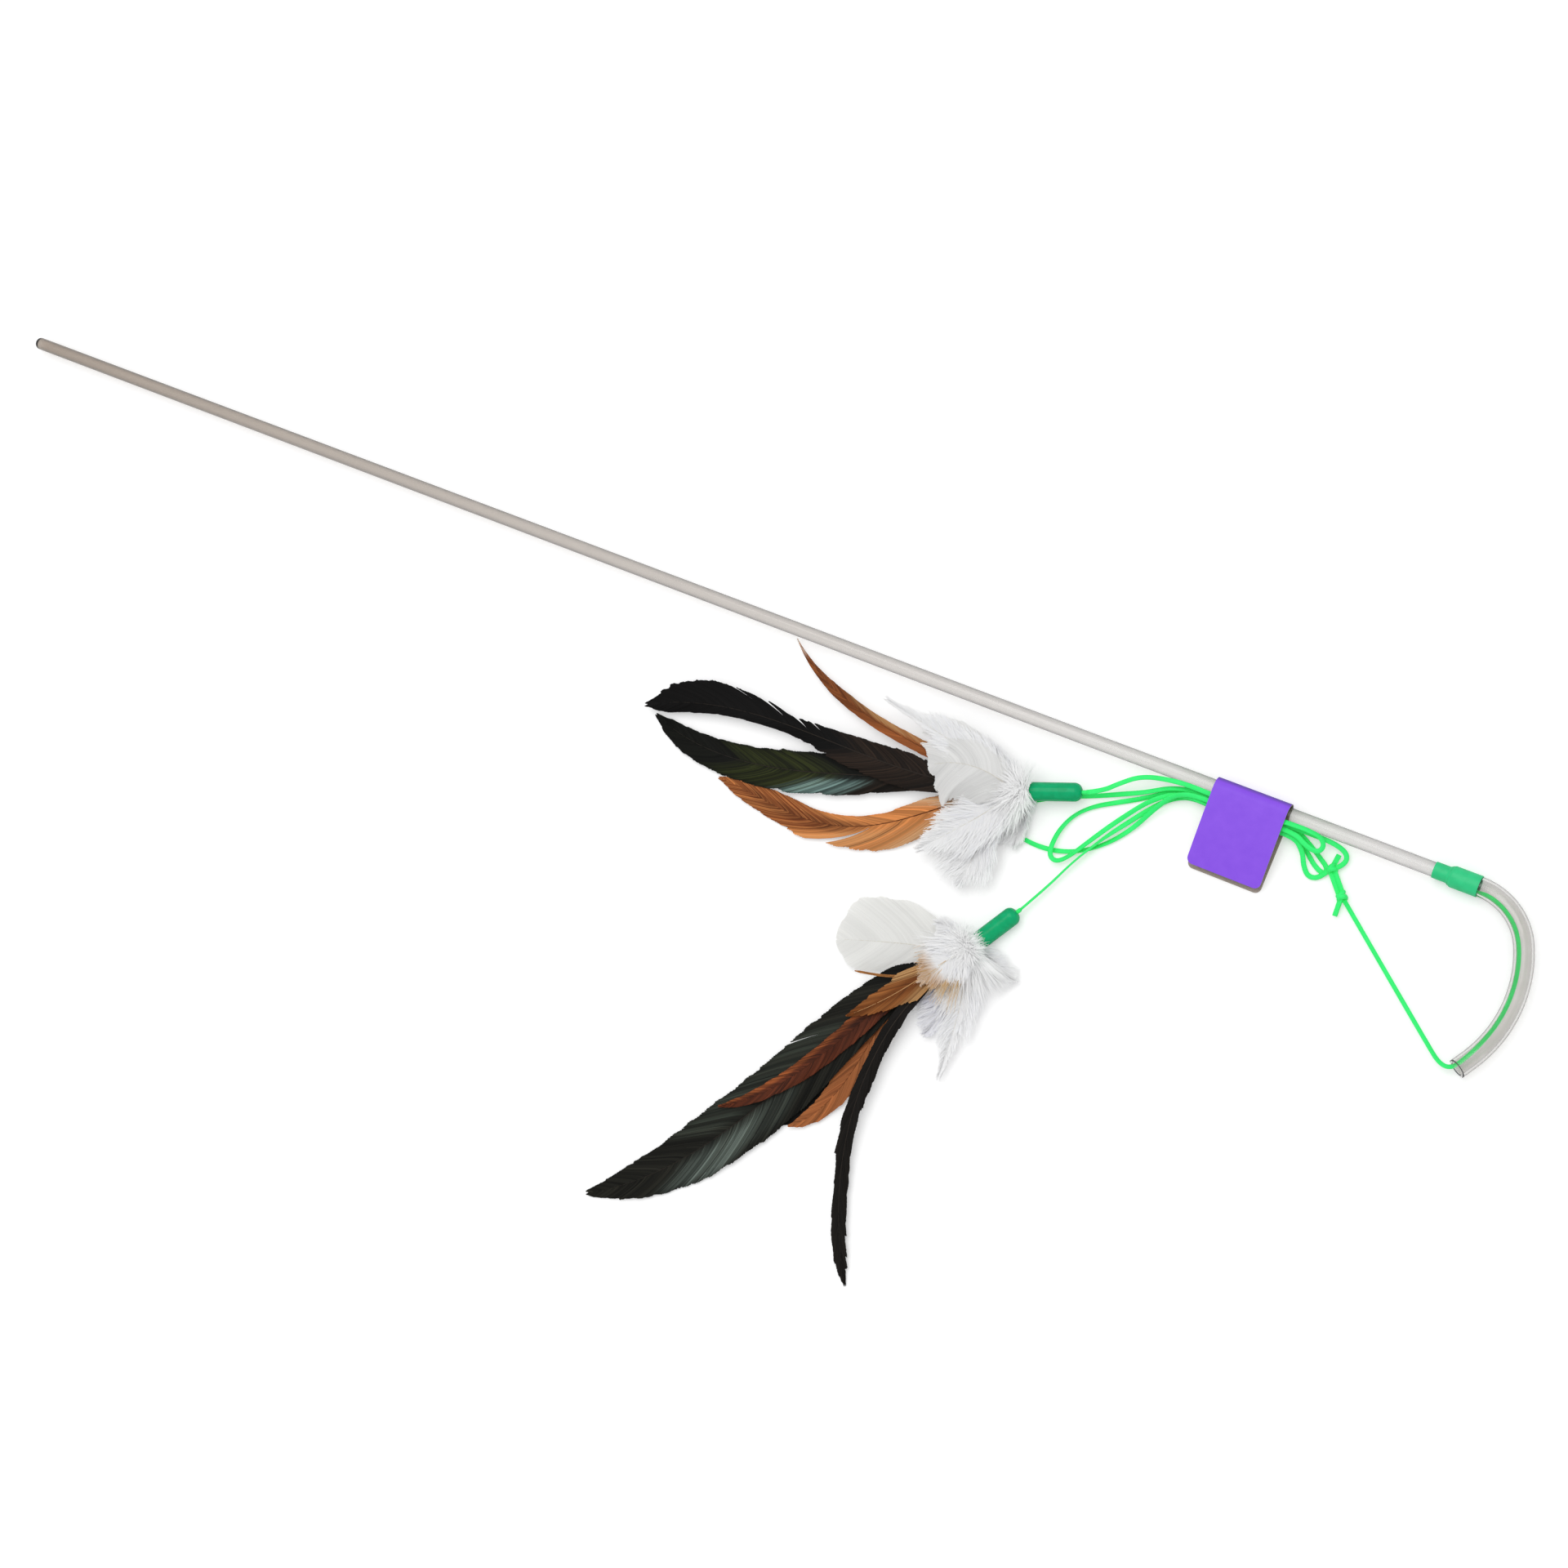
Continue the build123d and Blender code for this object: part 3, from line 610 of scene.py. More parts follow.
bpy.ops.object.select_all(action="DESELECT")
bpy.ops.mesh.primitive_plane_add(size=1)
card = bpy.context.active_object
card.name = "folded_card"
bpy.ops.object.mode_set(mode="EDIT")
bpy.ops.mesh.select_all(action="SELECT")
bpy.ops.transform.resize(value=(card_right - card_left, back_long, 1))
bpy.ops.transform.translate(value=((card_left + card_right) / 2, -back_long / 2, -fold_r))
bpy.ops.mesh.select_mode(type="EDGE")
bpy.ops.mesh.select_all(action="DESELECT")
bpy.ops.object.mode_set(mode="OBJECT")
for edge in card.data.edges:
    edge.select = all(abs(card.data.vertices[v].co.y) < near for v in edge.vertices)
bpy.ops.object.mode_set(mode="EDIT")
last = Vector((0, 0, -fold_r))
for n in range(1, fold_steps + 1):
    angle = -math.pi / 2 + n / fold_steps * (math.pi + front_slope)
    spot = Vector((0, fold_r * math.cos(angle), fold_r * math.sin(angle)))
    bpy.ops.mesh.extrude_edges_move(TRANSFORM_OT_translate={"value": spot - last})
    last = spot
front_start = last
front_way = Vector((0, -math.cos(front_slope), -math.sin(front_slope)))
for n in range(1, front_steps + 1):
    share = n / front_steps
    bulge = Vector((0, 0, front_bulge)) * math.sin(math.pi * share)
    spot = front_start + front_way * front_long * share + bulge
    bpy.ops.mesh.extrude_edges_move(TRANSFORM_OT_translate={"value": spot - last})
    last = spot
bpy.ops.object.mode_set(mode="OBJECT")
print("card strip:", len(card.data.vertices), "vertices")

# %% Round its corners and give it thickness
bpy.ops.object.mode_set(mode="EDIT")
bpy.ops.mesh.select_mode(type="VERT")
bpy.ops.mesh.select_all(action="DESELECT")
bpy.ops.object.mode_set(mode="OBJECT")
for v in card.data.vertices:
    on_back = abs(v.co.y + back_long) < near and v.co.z < 0
    on_front = abs(v.co.y - last.y) < near and v.co.z > -fold_r / 2
    v.select = on_back or on_front
bpy.ops.object.mode_set(mode="EDIT")
bpy.ops.mesh.bevel(offset=corner_r, segments=8, affect="VERTICES", profile=0.5)
bpy.ops.mesh.select_all(action="SELECT")
bpy.ops.mesh.normals_make_consistent(inside=False)
bpy.ops.object.mode_set(mode="OBJECT")
card.data.materials.append(coated)
card.data.materials.append(bare_card)
wall = card.modifiers.new("card", "SOLIDIFY")
wall.thickness = card_thick
wall.offset = -1
wall.material_offset = 1
wall.material_offset_rim = 1
bpy.ops.object.modifier_apply(modifier="card")
bpy.ops.object.shade_smooth_by_angle(angle=math.radians(30))
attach(card, "label")
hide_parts("label")
print("card:", [round(v / MM, 2) for v in card.dimensions])

# %% [markdown]
# ## Feathers
# A feather is a tapering shaft with a row of fine barbs along each side. In a vane the barbs lie flat and hook
# together into a blade that can split; in down they are loose and curl every way. Hundreds of thin strips give that
# edge and that sheen, and no primitive does, so each feather is grown in mesh code: a shaft on the CAD model's route,
# bent or sized a little to follow the photo in some feathers, then a strip for each barb, from the shaft to the
# feather's outline. Each barb's colour is kept on the mesh in an attribute, which the finish reads. Thin barbs let
# light through, so the finish mixes a little translucent shader with the surface.

# %% Feather finish


def feather_finish(name, roughness, specular, through):
    """Keratin barbs coloured from their own attribute, which also holds painted sheen and painted light from the
    caps; through is the share of light that passes them.
    """
    material = empty_material(name)
    tree = material.node_tree
    colour = add_node(tree, "ShaderNodeAttribute", attribute_name="barb_colour")
    shader = add_node(tree, "ShaderNodeBsdfPrincipled", {
        "Base Color": colour.outputs["Color"], "Roughness": roughness, "Specular IOR Level": specular})
    glowing = add_node(tree, "ShaderNodeBsdfTranslucent", {"Color": colour.outputs["Color"]})
    both = add_node(tree, "ShaderNodeMixShader", {0: through, 1: shader.outputs[0], 2: glowing.outputs[0]})
    add_node(tree, "ShaderNodeOutputMaterial", {"Surface": both.outputs[0]})
    return material


# A kind of feather is its finish and its slot
black = (feather_finish("black_cockerel_feather", roughness=0.5, specular=0.1, through=0.04), "black_feather")
ginger = (feather_finish("ginger_hackle_feather", roughness=0.55, specular=0.15, through=0.15), "ginger_feather")
brown = (feather_finish("brown_hackle_feather", roughness=0.55, specular=0.15, through=0.15), "brown_feather")
white = (feather_finish("white_down_feather", roughness=0.8, specular=0.1, through=0.4), "white_feather")
print("feather finishes:", [finish.name for finish, slot in (black, ginger, brown, white)])

# %% A feather's shaft
cap_long = 19.0 * MM
layer_pitch = 1.2  # mm from one layer of feathers to the next, counted from the floor
turned_by = 0.16  # the share of its length by which a shaft has made its first turn
shaft_steps = 240
quill_across, quill_up = 0.98, 1.12  # mm from one quill to the next in a cap's mouth
# The closed end of each lure's cap, in mm, and the cap's heading, in degrees
lures = {
    "a": ((482.0, -17.2, 1.675), 199.6),
    "b": ((476.2, -61.8, -0.325), 238.4),
}


def seat(row, column, count):
    """A quill's place in the cap's mouth: across and up, in mm."""
    return (column - (count - 1) / 2) * quill_across, (row - 1) * quill_up


class Shaft:
    """The line of a feather's shaft: places and sideways directions, by share of its length.

    turns are degrees: a first turn just outside the cap, then bends by the share, by its square and so on. layers are
    the shaft's heights at near_share and at its tip.
    """

    def __init__(self, lure, quill_seat, length, turns, layers, near_share):
        place, heading = lures[lure]
        place = np.array(place) * MM
        heading = math.radians(heading)
        seat_across, seat_up = quill_seat[0] * MM, quill_seat[1] * MM
        share = (np.arange(shaft_steps) + 0.5) / shaft_steps
        bends = sum(bend * share**power for power, bend in enumerate(turns[1:], 1))
        turn = np.radians(turns[0] * np.minimum(1, share / turned_by) + bends)
        along = cap_long + np.concatenate([[0], np.cumsum(np.cos(turn))]) * length / shaft_steps
        aside = seat_across + np.concatenate([[0], np.cumsum(np.sin(turn))]) * length / shaft_steps
        self.share = np.linspace(0, 1, shaft_steps + 1)
        near_up = layers[0] * layer_pitch * MM + floor_z - place[2]
        tip_up = layers[1] * layer_pitch * MM + floor_z - place[2]
        rise = np.clip(self.share / near_share, 0, 1)
        rise = rise * rise * (3 - 2 * rise)
        fall = np.clip((self.share - near_share) / (1 - near_share), 0, 1)
        height = seat_up + (near_up - seat_up) * rise + (tip_up - near_up) * fall
        self.places = np.stack([
            place[0] + along * math.cos(heading) - aside * math.sin(heading),
            place[1] + along * math.sin(heading) + aside * math.cos(heading),
            place[2] + height,
        ], axis=1)
        facing = heading + np.interp(self.share, share, turn)
        self.left = np.stack([-np.sin(facing), np.cos(facing), np.zeros(shaft_steps + 1)], axis=1)
        self.length = length

    def at(self, share):
        """Places and left directions at these shares; past the tip the line goes straight on."""
        inside = np.clip(share, 0, 1)
        places = np.stack([np.interp(inside, self.share, self.places[:, k]) for k in range(3)], axis=-1)
        left = np.stack([np.interp(inside, self.share, self.left[:, k]) for k in range(3)], axis=-1)
        ahead = np.stack([left[..., 1], -left[..., 0], left[..., 2]], axis=-1)
        return places + ahead * ((share - inside) * self.length)[..., None], left


print("lures:", list(lures))

# %% A feather's outline
stations = (0, 0.08, 0.16, 0.3, 0.45, 0.6, 0.75, 0.88, 0.96, 1)
outline_grid = np.linspace(0, 1, 401)
blur_steps = 29  # of the grid, over which the outline's corners are rounded
barb_limit = 4.0  # the longest barb, in half widths of its feather


def smooth_outline(shares, blunt):
    """A feather's half width along its length, from its shares at the stations; blunt rounds the tip."""
    table = np.interp(outline_grid, stations, shares)
    table = np.convolve(np.pad(table, blur_steps // 2, mode="edge"), np.ones(blur_steps) / blur_steps, mode="valid")
    return table * np.clip((1 - outline_grid) / blunt, 0, 1) ** 0.5


def barb_lengths(starts, angle, table, half_width, length):
    """How far each barb goes, at its angle to the shaft, before it meets the outline."""
    walk = np.linspace(0, 1, 200)[None] * barb_limit * half_width
    share = starts[:, None] + walk * np.cos(angle)[:, None] / length
    half = np.interp(share, outline_grid, table, right=0) * half_width
    past = walk * np.sin(angle)[:, None] > half
    past[:, -1] = True
    return walk[0][np.argmax(past, axis=1)]


def clumps(random, starts, length, gap, spare):
    """A random number for each barb that changes slowly along the feather, so that barbs lie in clumps."""
    marks = np.arange(0, length + spare, gap)
    return np.interp(starts * length, marks, random.standard_normal(len(marks)))


# Half widths at the stations, from the quill to the tip
tail = (0, 0.08, 0.2, 0.62, 0.95, 1, 0.92, 0.68, 0.35, 0.06)
hackle = (0, 0.1, 0.3, 0.72, 1, 0.95, 0.78, 0.52, 0.26, 0.06)
wisp = (0, 0.15, 0.45, 0.9, 1, 0.85, 0.6, 0.36, 0.16, 0.04)
strap = (0, 0.14, 0.6, 0.95, 1, 0.95, 0.95, 1, 0.6, 0.12)
fluff = (0.35, 0.5, 0.7, 0.92, 1.05, 1.05, 0.95, 0.72, 0.45, 0.2)
spiky = (0.5, 0.8, 1.0, 1.05, 0.95, 0.8, 0.6, 0.42, 0.28, 0.15)
print("outlines: tail, hackle, wisp, strap, fluff, spiky")

# %% A feather's colours


def rgb(hex_colour):
    """A colour's linear red, green and blue."""
    return np.array(linear(hex_colour)[:3])


def tint(colours, hex_colour, amount):
    """Moves an array of linear colours towards one colour."""
    return colours + (rgb(hex_colour) - colours) * amount[..., None]


def between(values, low, high, soft):
    """1 between low and high, falling to 0 within soft on each side."""
    return np.clip((values - low) / soft + 1, 0, 1) * np.clip((high - values) / soft + 1, 0, 1)


print("white down is", rgb("#FEFEFE").round(3), "in linear light")

# %% A feather's mesh
barb_steps = 7
t = np.linspace(0, 1, barb_steps)  # the share of a barb's length at each of its steps
barb_clear = 0.3 * MM  # the least height over the floor of a barb's middle line
edge_clear = 0.15 * MM  # and of its edges
up = np.array((0, 0, 1))
tiny = 1e-12
quill_foot = 4 * MM
shaft_tip = 0.12 * MM
shaft_sides = 6
shaft_rings = 48


class FeatherMesh:
    """A feather's mesh as it grows: corners, faces and a colour for each corner."""

    def __init__(self):
        self.corners, self.faces, self.colours = [], [], []

    def add(self, corners, faces, colours):
        """Adds corners, the faces between them and their colours."""
        first = sum(map(len, self.corners))
        self.corners.append(corners)
        self.faces += [[first + v for v in face] for face in faces]
        self.colours.append(colours)

    def add_strips(self, middle, wide, taper, roll, tone):
        """Adds thin strips along their middle lines, turned by roll; taper is the share of width left at the tip."""
        way = np.gradient(middle, axis=1)
        way /= np.linalg.norm(way, axis=2)[..., None] + tiny
        flat = np.cross(up, way)
        flat /= np.linalg.norm(flat, axis=2)[..., None] + tiny
        across = flat * np.cos(roll)[:, None, None] + up * np.sin(roll)[:, None, None]
        half = wide[:, None] / 2 * (1 - (1 - taper) * t**1.6)
        corners = np.stack([middle + across * half[..., None], middle - across * half[..., None]], axis=2)
        corners[..., 2] = np.maximum(corners[..., 2], floor_z + edge_clear)
        base = (np.arange(len(middle))[:, None] * barb_steps + np.arange(barb_steps - 1)).ravel() * 2
        faces = np.stack([base, base + 1, base + 3, base + 2], axis=1).tolist()
        self.add(corners.reshape(-1, 3), faces, np.repeat(tone, 2, axis=1).reshape(-1, 3))

    def add_shaft(self, shaft, thick, upto, colour):
        """Adds the shaft itself: a six-sided tube from the quill's foot to near the tip."""
        share = np.concatenate([[0], np.linspace(0, upto, shaft_rings)])
        places, left = shaft.at(share)
        start_way = (places[2] - places[1]) / np.linalg.norm(places[2] - places[1])
        places[0] = places[1] - start_way * quill_foot
        thinner = thick + (shaft_tip - thick) * np.linspace(0, 1, shaft_rings) ** 0.6
        radius = np.concatenate([[thick], thinner]) / 2
        angles = np.linspace(0, 2 * math.pi, shaft_sides, endpoint=False)
        rings = places[:, None] + radius[:, None, None] * (
            left[:, None] * np.cos(angles)[None, :, None] + up * np.sin(angles)[None, :, None])
        faces = []
        for n in range(shaft_rings):
            here, ahead = n * shaft_sides, (n + 1) * shaft_sides
            for k in range(shaft_sides):
                beside = (k + 1) % shaft_sides
                faces.append((here + k, here + beside, ahead + beside, ahead + k))
        faces.append((0, *range(shaft_sides - 1, 0, -1)))
        corners = rings.reshape(-1, 3)
        self.add(corners, faces, np.tile(rgb(colour), (len(corners), 1)))

    def piece(self, name, finish):
        """The mesh as an object, with its colours in an attribute."""
        made = new_piece(name, np.concatenate(self.corners), self.faces, finish)
        tones = made.data.color_attributes.new("barb_colour", "FLOAT_COLOR", "POINT")
        tone = np.concatenate(self.colours)
        tones.data.foreach_set("color", np.concatenate([tone, np.ones((len(tone), 1))], axis=1).ravel())
        return made


print("a barb has", (barb_steps - 1) * 2, "triangles")

# %% A vane feather
feather_pieces = {}
barb_overlap = 3.2  # a barb's width in spacings, so that neighbours overlap
least_barb = 0.34 * MM
last_barb = 0.985  # the share of the shaft where the last barb starts
wave_high, wave_long = 0.35 * MM, 7 * MM
barb_stray = 0.05 * MM
vane_roll = 0.06
patch_soft, patch_soft_barb = 0.06, 0.25  # how softly a patch ends along the shaft and along a barb


def settle(name, piece, lure):
    """Puts a feather on its lure in place of its CAD solid."""
    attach(piece, "lure_" + lure)
    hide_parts(name)
    feather_pieces[name] = piece


def grow_vane(name, lure, quill_seat, length, width, turns, layers, left, right, kind, colour, patches=(),
              splits=(), spacing=0.4, sweep=26, ragged=0.05, droop=0.1, blunt=0.05, bare=0.1, quill="#2E2823",
              thick=0.7, contrast=0.12, seed=1):
    """A flat feather: a shaft and hooked barbs that end on its outline, with patches of colour and splits.

    A patch is a colour, the shares of the shaft that it lies between, its side (1 left, -1 right, 0 both), the shares
    of a barb that it lies between, and its strength. A split is its side, its share of the shaft and its width.
    """
    random = np.random.default_rng(seed)
    finish, slot = kind
    length, half_width = length * MM, width * MM / 2
    shaft = Shaft(lure, quill_seat, length, turns, layers, near_share=0.3)
    mesh = FeatherMesh()
    for side, shares in ((1, left), (-1, right)):
        count = int(length * (1 - bare) / (spacing * MM))
        starts = np.linspace(bare, last_barb, count)
        angle = np.radians(sweep * (1.1 - 0.35 * starts) * (1 + 0.008 * random.standard_normal(count)))
        clump = clumps(random, starts, length, gap=2.2 * MM, spare=3 * MM)
        far = barb_lengths(starts, angle, smooth_outline(shares, blunt), half_width, length)
        far = far * (1 + ragged * (clump - 0.5 * np.abs(random.standard_normal(count))))
        ends = starts + far * np.cos(angle) / length
        reach = far * np.sin(angle)
        for split_side, where, gap in splits:
            if split_side == side:
                off = starts - where
                ends = ends + np.sign(off) * gap * np.exp(-((off / (2.5 * gap)) ** 2))
        share = starts[:, None] + (ends - starts)[:, None] * t**1.2
        places, across = shaft.at(share)
        middle = places + across * (side * reach[:, None] * t**0.92)[..., None]
        wave = wave_high * np.sin(starts * length / wave_long + seed)[:, None] * t
        stray = barb_stray * random.standard_normal(count)[:, None]
        middle[..., 2] += wave - droop * reach[:, None] * t**2 + stray
        middle[..., 2] = np.maximum(middle[..., 2], floor_z + barb_clear)
        wide = np.maximum(barb_overlap * spacing * MM * np.sin(angle), least_barb)
        roll = vane_roll * random.standard_normal(count)
        tone = np.tile(rgb(colour), (count, barb_steps, 1))
        # Patches are the feathers' own colours, and on the black feathers some are painted sheen.
        for patch, low, high, patch_side, t_low, t_high, amount in patches:
            if patch_side in (0, side):
                mask = between(starts, low, high, patch_soft)[:, None]
                mask = mask * between(t, t_low, t_high, patch_soft_barb)[None] * amount
                tone = tint(tone, patch, mask * random.uniform(0.2, 1.0, count)[:, None])
        shade = np.clip(1 + contrast * (random.standard_normal(count) + clump), 0.45, 1.7)
        mesh.add_strips(middle, wide, taper=0.8, roll=roll, tone=np.clip(tone * shade[:, None, None], 0, 1))
    mesh.add_shaft(shaft, thick * MM, upto=0.93, colour=quill)
    settle(name, mesh.piece(name + "_barbs", finish), lure)


print("vane grower ready")

# %% A down feather
down_barb = 0.46 * MM
down_shaft = 0.5 * MM
least_down = 2 * MM
loose_roll = 0.15
down_shade = "#F4F5F9"
white_quill = "#E9E5DA"


def grow_down(name, lure, quill_seat, length, width, turns, layers, left, right=None, colour="#FEFEFE", count=900,
              sweep=40, tip="#FEFEFE", lift=(-1.0, 1.6), ragged=0.13, seed=1):
    """A loose white feather: long soft barbs that stray from the outline and curl, some with a tip colour."""
    random = np.random.default_rng(seed)
    length, half_width = length * MM, width * MM / 2
    shaft = Shaft(lure, quill_seat, length, turns, layers, near_share=0.16)
    mesh = FeatherMesh()
    for side, shares in ((1, left), (-1, right or left)):
        starts = np.sort(random.uniform(0.0, 0.97, count) ** 1.1)
        angle = np.radians(sweep * (1.35 - 0.8 * starts) * (1 + 0.22 * random.standard_normal(count)))
        angle = np.clip(angle, 0.12, 1.5)
        far = barb_lengths(starts, angle, smooth_outline(shares, blunt=0.12), half_width, length)
        clump = clumps(random, starts, length, gap=2.5 * MM, spare=4 * MM)
        uneven = 0.95 + ragged * clump + 0.08 * random.standard_normal(count)
        far = np.maximum(far, least_down) * np.clip(uneven, 0.5, 1.3)
        ends = starts + far * np.cos(angle) / length
        share = starts[:, None] + (ends - starts)[:, None] * t**1.3
        places, across = shaft.at(share)
        sway = 0.045 * far * random.standard_normal(count)
        stray = sway[:, None] * np.sin(t * 4 + random.uniform(0, 6, count)[:, None])
        middle = places + across * (side * far * np.sin(angle))[:, None, None] * (t**0.85)[None, :, None]
        middle += across * stray[..., None]
        middle[..., 2] += random.uniform(*lift, count)[:, None] * MM * t**1.4
        middle[..., 2] = np.maximum(middle[..., 2], floor_z + barb_clear)
        wide = down_barb * random.uniform(0.6, 1.25, count)
        roll = loose_roll * random.standard_normal(count)
        tone = np.tile(rgb(colour), (count, barb_steps, 1))
        greyed = np.clip(0.1 + 0.3 * random.standard_normal(count), 0, 0.8)
        tone = tint(tone, down_shade, greyed[:, None])
        tone = tint(tone, tip, between(share, 0.8, 2.0, 0.2) * random.uniform(0.4, 1.0, count)[:, None])
        mesh.add_strips(middle, wide, taper=0.3, roll=roll, tone=tone)
    mesh.add_shaft(shaft, down_shaft, upto=0.85, colour=white_quill)
    finish, slot = white
    settle(name, mesh.piece(name + "_barbs", finish), lure)


print("down grower ready")

# %% [markdown]
# ## Tufts
# The shortest, softest barbs stand out of a cap's mouth round the quills. They belong to no one feather, so they are
# tufts of loose strips, which the CAD model doesn't have.

# %% Tufts of loose down
tuft_ring = 2.2  # mm from the middle of the cap's mouth
root_depth = 1.5  # mm
tuft_barb = 0.38 * MM


def grow_tuft(name, lure, count, spread, longest, heights, colour, root_colour_and_painted_cap_green, seed):
    """Loose down round a cap's mouth: barbs that come out of it and bend every way within spread, in degrees.

    longest and heights, the barbs' tops over the floor, are in mm.
    """
    random = np.random.default_rng(seed)
    place, heading = lures[lure]
    way = math.radians(heading)
    forward = np.array((math.cos(way), math.sin(way), 0))
    left = np.array((-math.sin(way), math.cos(way), 0))
    mouth = np.array(place) * MM + forward * cap_long
    turn = way + np.radians(random.uniform(spread[0], spread[1], count))
    out = np.stack([np.cos(turn), np.sin(turn), np.zeros(count)], axis=1)
    ring = random.uniform(0, 2 * math.pi, count)
    root = mouth + (left * np.cos(ring)[:, None] + up * np.sin(ring)[:, None]) * tuft_ring * MM
    root = root - forward * random.uniform(0, root_depth, count)[:, None] * MM
    far = longest * MM * random.uniform(0.35, 1.0, count)
    middle = root[:, None] + forward * (2.0 * MM * np.sin(t * 1.6))[None, :, None]
    middle = middle + out[:, None] * (far[:, None] * t**1.2)[..., None]
    top = random.uniform(heights[0], heights[1], count) * MM + floor_z
    middle[..., 2] += (top - root[:, 2])[:, None] * np.sin(t * 2.2) * 0.7
    middle[..., 2] = np.maximum(middle[..., 2], floor_z + barb_clear)
    wide = tuft_barb * random.uniform(0.6, 1.25, count)
    roll = loose_roll * random.standard_normal(count)
    tone = np.tile(rgb(colour), (count, barb_steps, 1))
    # Towards the roots the tone turns to the root colour: a real cream on the cream tuft, and on the down tufts a
    # painted pale green, the green cap's light through the fluff.
    tone = tint(tone, root_colour_and_painted_cap_green, np.clip(1 - t * 2.2, 0, 1))
    mesh = FeatherMesh()
    mesh.add_strips(middle, wide, taper=0.15, roll=roll, tone=tone)
    piece = mesh.piece(name, white[0])
    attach(piece, "lure_" + lure)


print("tuft grower ready")

# %% [markdown]
# ## Lure A
# Two long black cockerel feathers, one with a green sheen, a ginger hackle and a thin brown one, with white down
# over their quills. Each call gives a feather's seat in its cap, its length and width, its turns and its layers.
# These are the CAD model's, apart from some that follow the photo more closely. Then come its outline, which differs
# from side to side, its colours and its splits.

# %% Lure A's vanes
# The olive and pale teal patches are painted sheen; the brown patch at the base is the feather's own colour.
grow_vane("green_black_feather", "a", seat(0, 0, 3), 145, 15, (-19, 86, -108), (3.2, 1.0),
          tail, (0, 0.08, 0.3, 0.7, 0.95, 0.9, 0.75, 0.5, 0.3, 0.06),
          black, "#0B0C08", seed=11, ragged=0.03, contrast=0.2,
          patches=[("#3A411B", 0.5, 0.68, 0, 0.1, 0.8, 0.7), ("#93B5AE", 0.4, 0.48, 1, 0.4, 0.9, 0.6),
                   ("#241B15", 0.0, 0.34, 0, 0.0, 1.0, 0.9)])
grow_vane("black_arched_feather", "a", seat(1, 1, 3), 147.5, 15, (4, -100, 105), (5.0, 3.2),
          (0, 0.1, 0.5, 0.85, 0.75, 0.34, 0.38, 0.45, 0.48, 0.1),
          (0, 0.1, 0.5, 0.8, 0.62, 0.42, 1.0, 1.2, 0.55, 0.06),
          black, "#060505", seed=12, ragged=0.035,
          splits=[(-1, 0.5, 0.006), (-1, 0.55, 0.009), (-1, 0.6, 0.009), (-1, 0.65, 0.006)],
          patches=[("#30241C", 0.0, 0.4, 0, 0.0, 1.0, 0.9)])
grow_vane("ginger_feather_a", "a", seat(0, 1, 3), 118.8, 13.5, (-29, 366, -843, 491), (2.2, 0.8),
          (0, 0.3, 0.7, 1.1, 1.35, 1.0, 0.75, 0.6, 0.3, 0.05),
          (0, 0.3, 0.5, 0.75, 0.5, 0.55, 0.75, 0.6, 0.3, 0.06),
          ginger, "#D2874B", seed=13, sweep=19, ragged=0.03, splits=[(1, 0.47, 0.03)], quill="#6B3A1C",
          patches=[("#763615", 0.6, 1.0, 0, 0.0, 1.0, 1.0), ("#582A10", 0.5, 0.85, 0, 0.0, 0.3, 0.85),
                   ("#E2C29A", 0.05, 0.22, 0, 0.2, 1.0, 0.85), ("#D39A64", 0.2, 0.5, 1, 0.4, 1.0, 0.7)])
grow_vane("thin_brown_feather", "a", seat(1, 0, 3), 104.7, 4.5, (-31, 44, -74), (4.4, 2.4),
          (0, 0.15, 0.5, 0.85, 1.15, 1.25, 0.9, 0.4, 0.1, 0.03),
          (0, 0.15, 0.5, 0.85, 1.2, 1.25, 0.8, 0.35, 0.1, 0.03),
          brown, "#98562A", seed=14, sweep=15, ragged=0.03, quill="#6A3D1C", thick=0.5,
          patches=[("#C79A66", 0.3, 0.62, -1, 0.4, 1.0, 0.8), ("#54280F", 0.6, 0.9, 0, 0.0, 1.0, 0.75),
                   ("#D9CDBD", 0.95, 1.0, 0, 0.0, 1.0, 0.9)])
print("vanes on lure A:", len(feather_pieces))

# %% Lure A's down
grow_down("white_back_feather_a", "a", seat(0, 2, 3), 18.5, 15, (95, -36, 21), (2.0, 1.8),
          (0.5, 0.65, 0.65, 0.55, 0.45, 0.4, 0.35, 0.3, 0.25, 0.15), fluff, count=800, seed=21)
grow_down("white_low_feather_a", "a", seat(1, 2, 3), 40, 22, (41, 62, -42), (5.4, 4.0),
          (0.35, 0.45, 0.5, 0.5, 0.5, 0.55, 0.6, 0.55, 0.4, 0.2), fluff, count=1100, ragged=0.26, seed=22)
grow_down("white_top_feather_a", "a", seat(2, 0, 4), 28, 16, (-54, 60, -60), (5.4, 5.2),
          fluff, (0.35, 0.5, 0.6, 0.6, 0.58, 0.55, 0.45, 0.33, 0.2, 0.1), count=800, seed=23)
grow_down("white_long_feather_a", "a", seat(2, 1, 4), 60, 17, (-47, 46, -32), (8.0, 7.0),
          (0.35, 0.5, 0.7, 0.8, 0.7, 0.35, 0.12, 0.08, 0.05, 0.03),
          (0.35, 0.5, 0.6, 0.7, 0.8, 0.7, 0.3, 0.12, 0.08, 0.04), count=1100, sweep=30, seed=24)
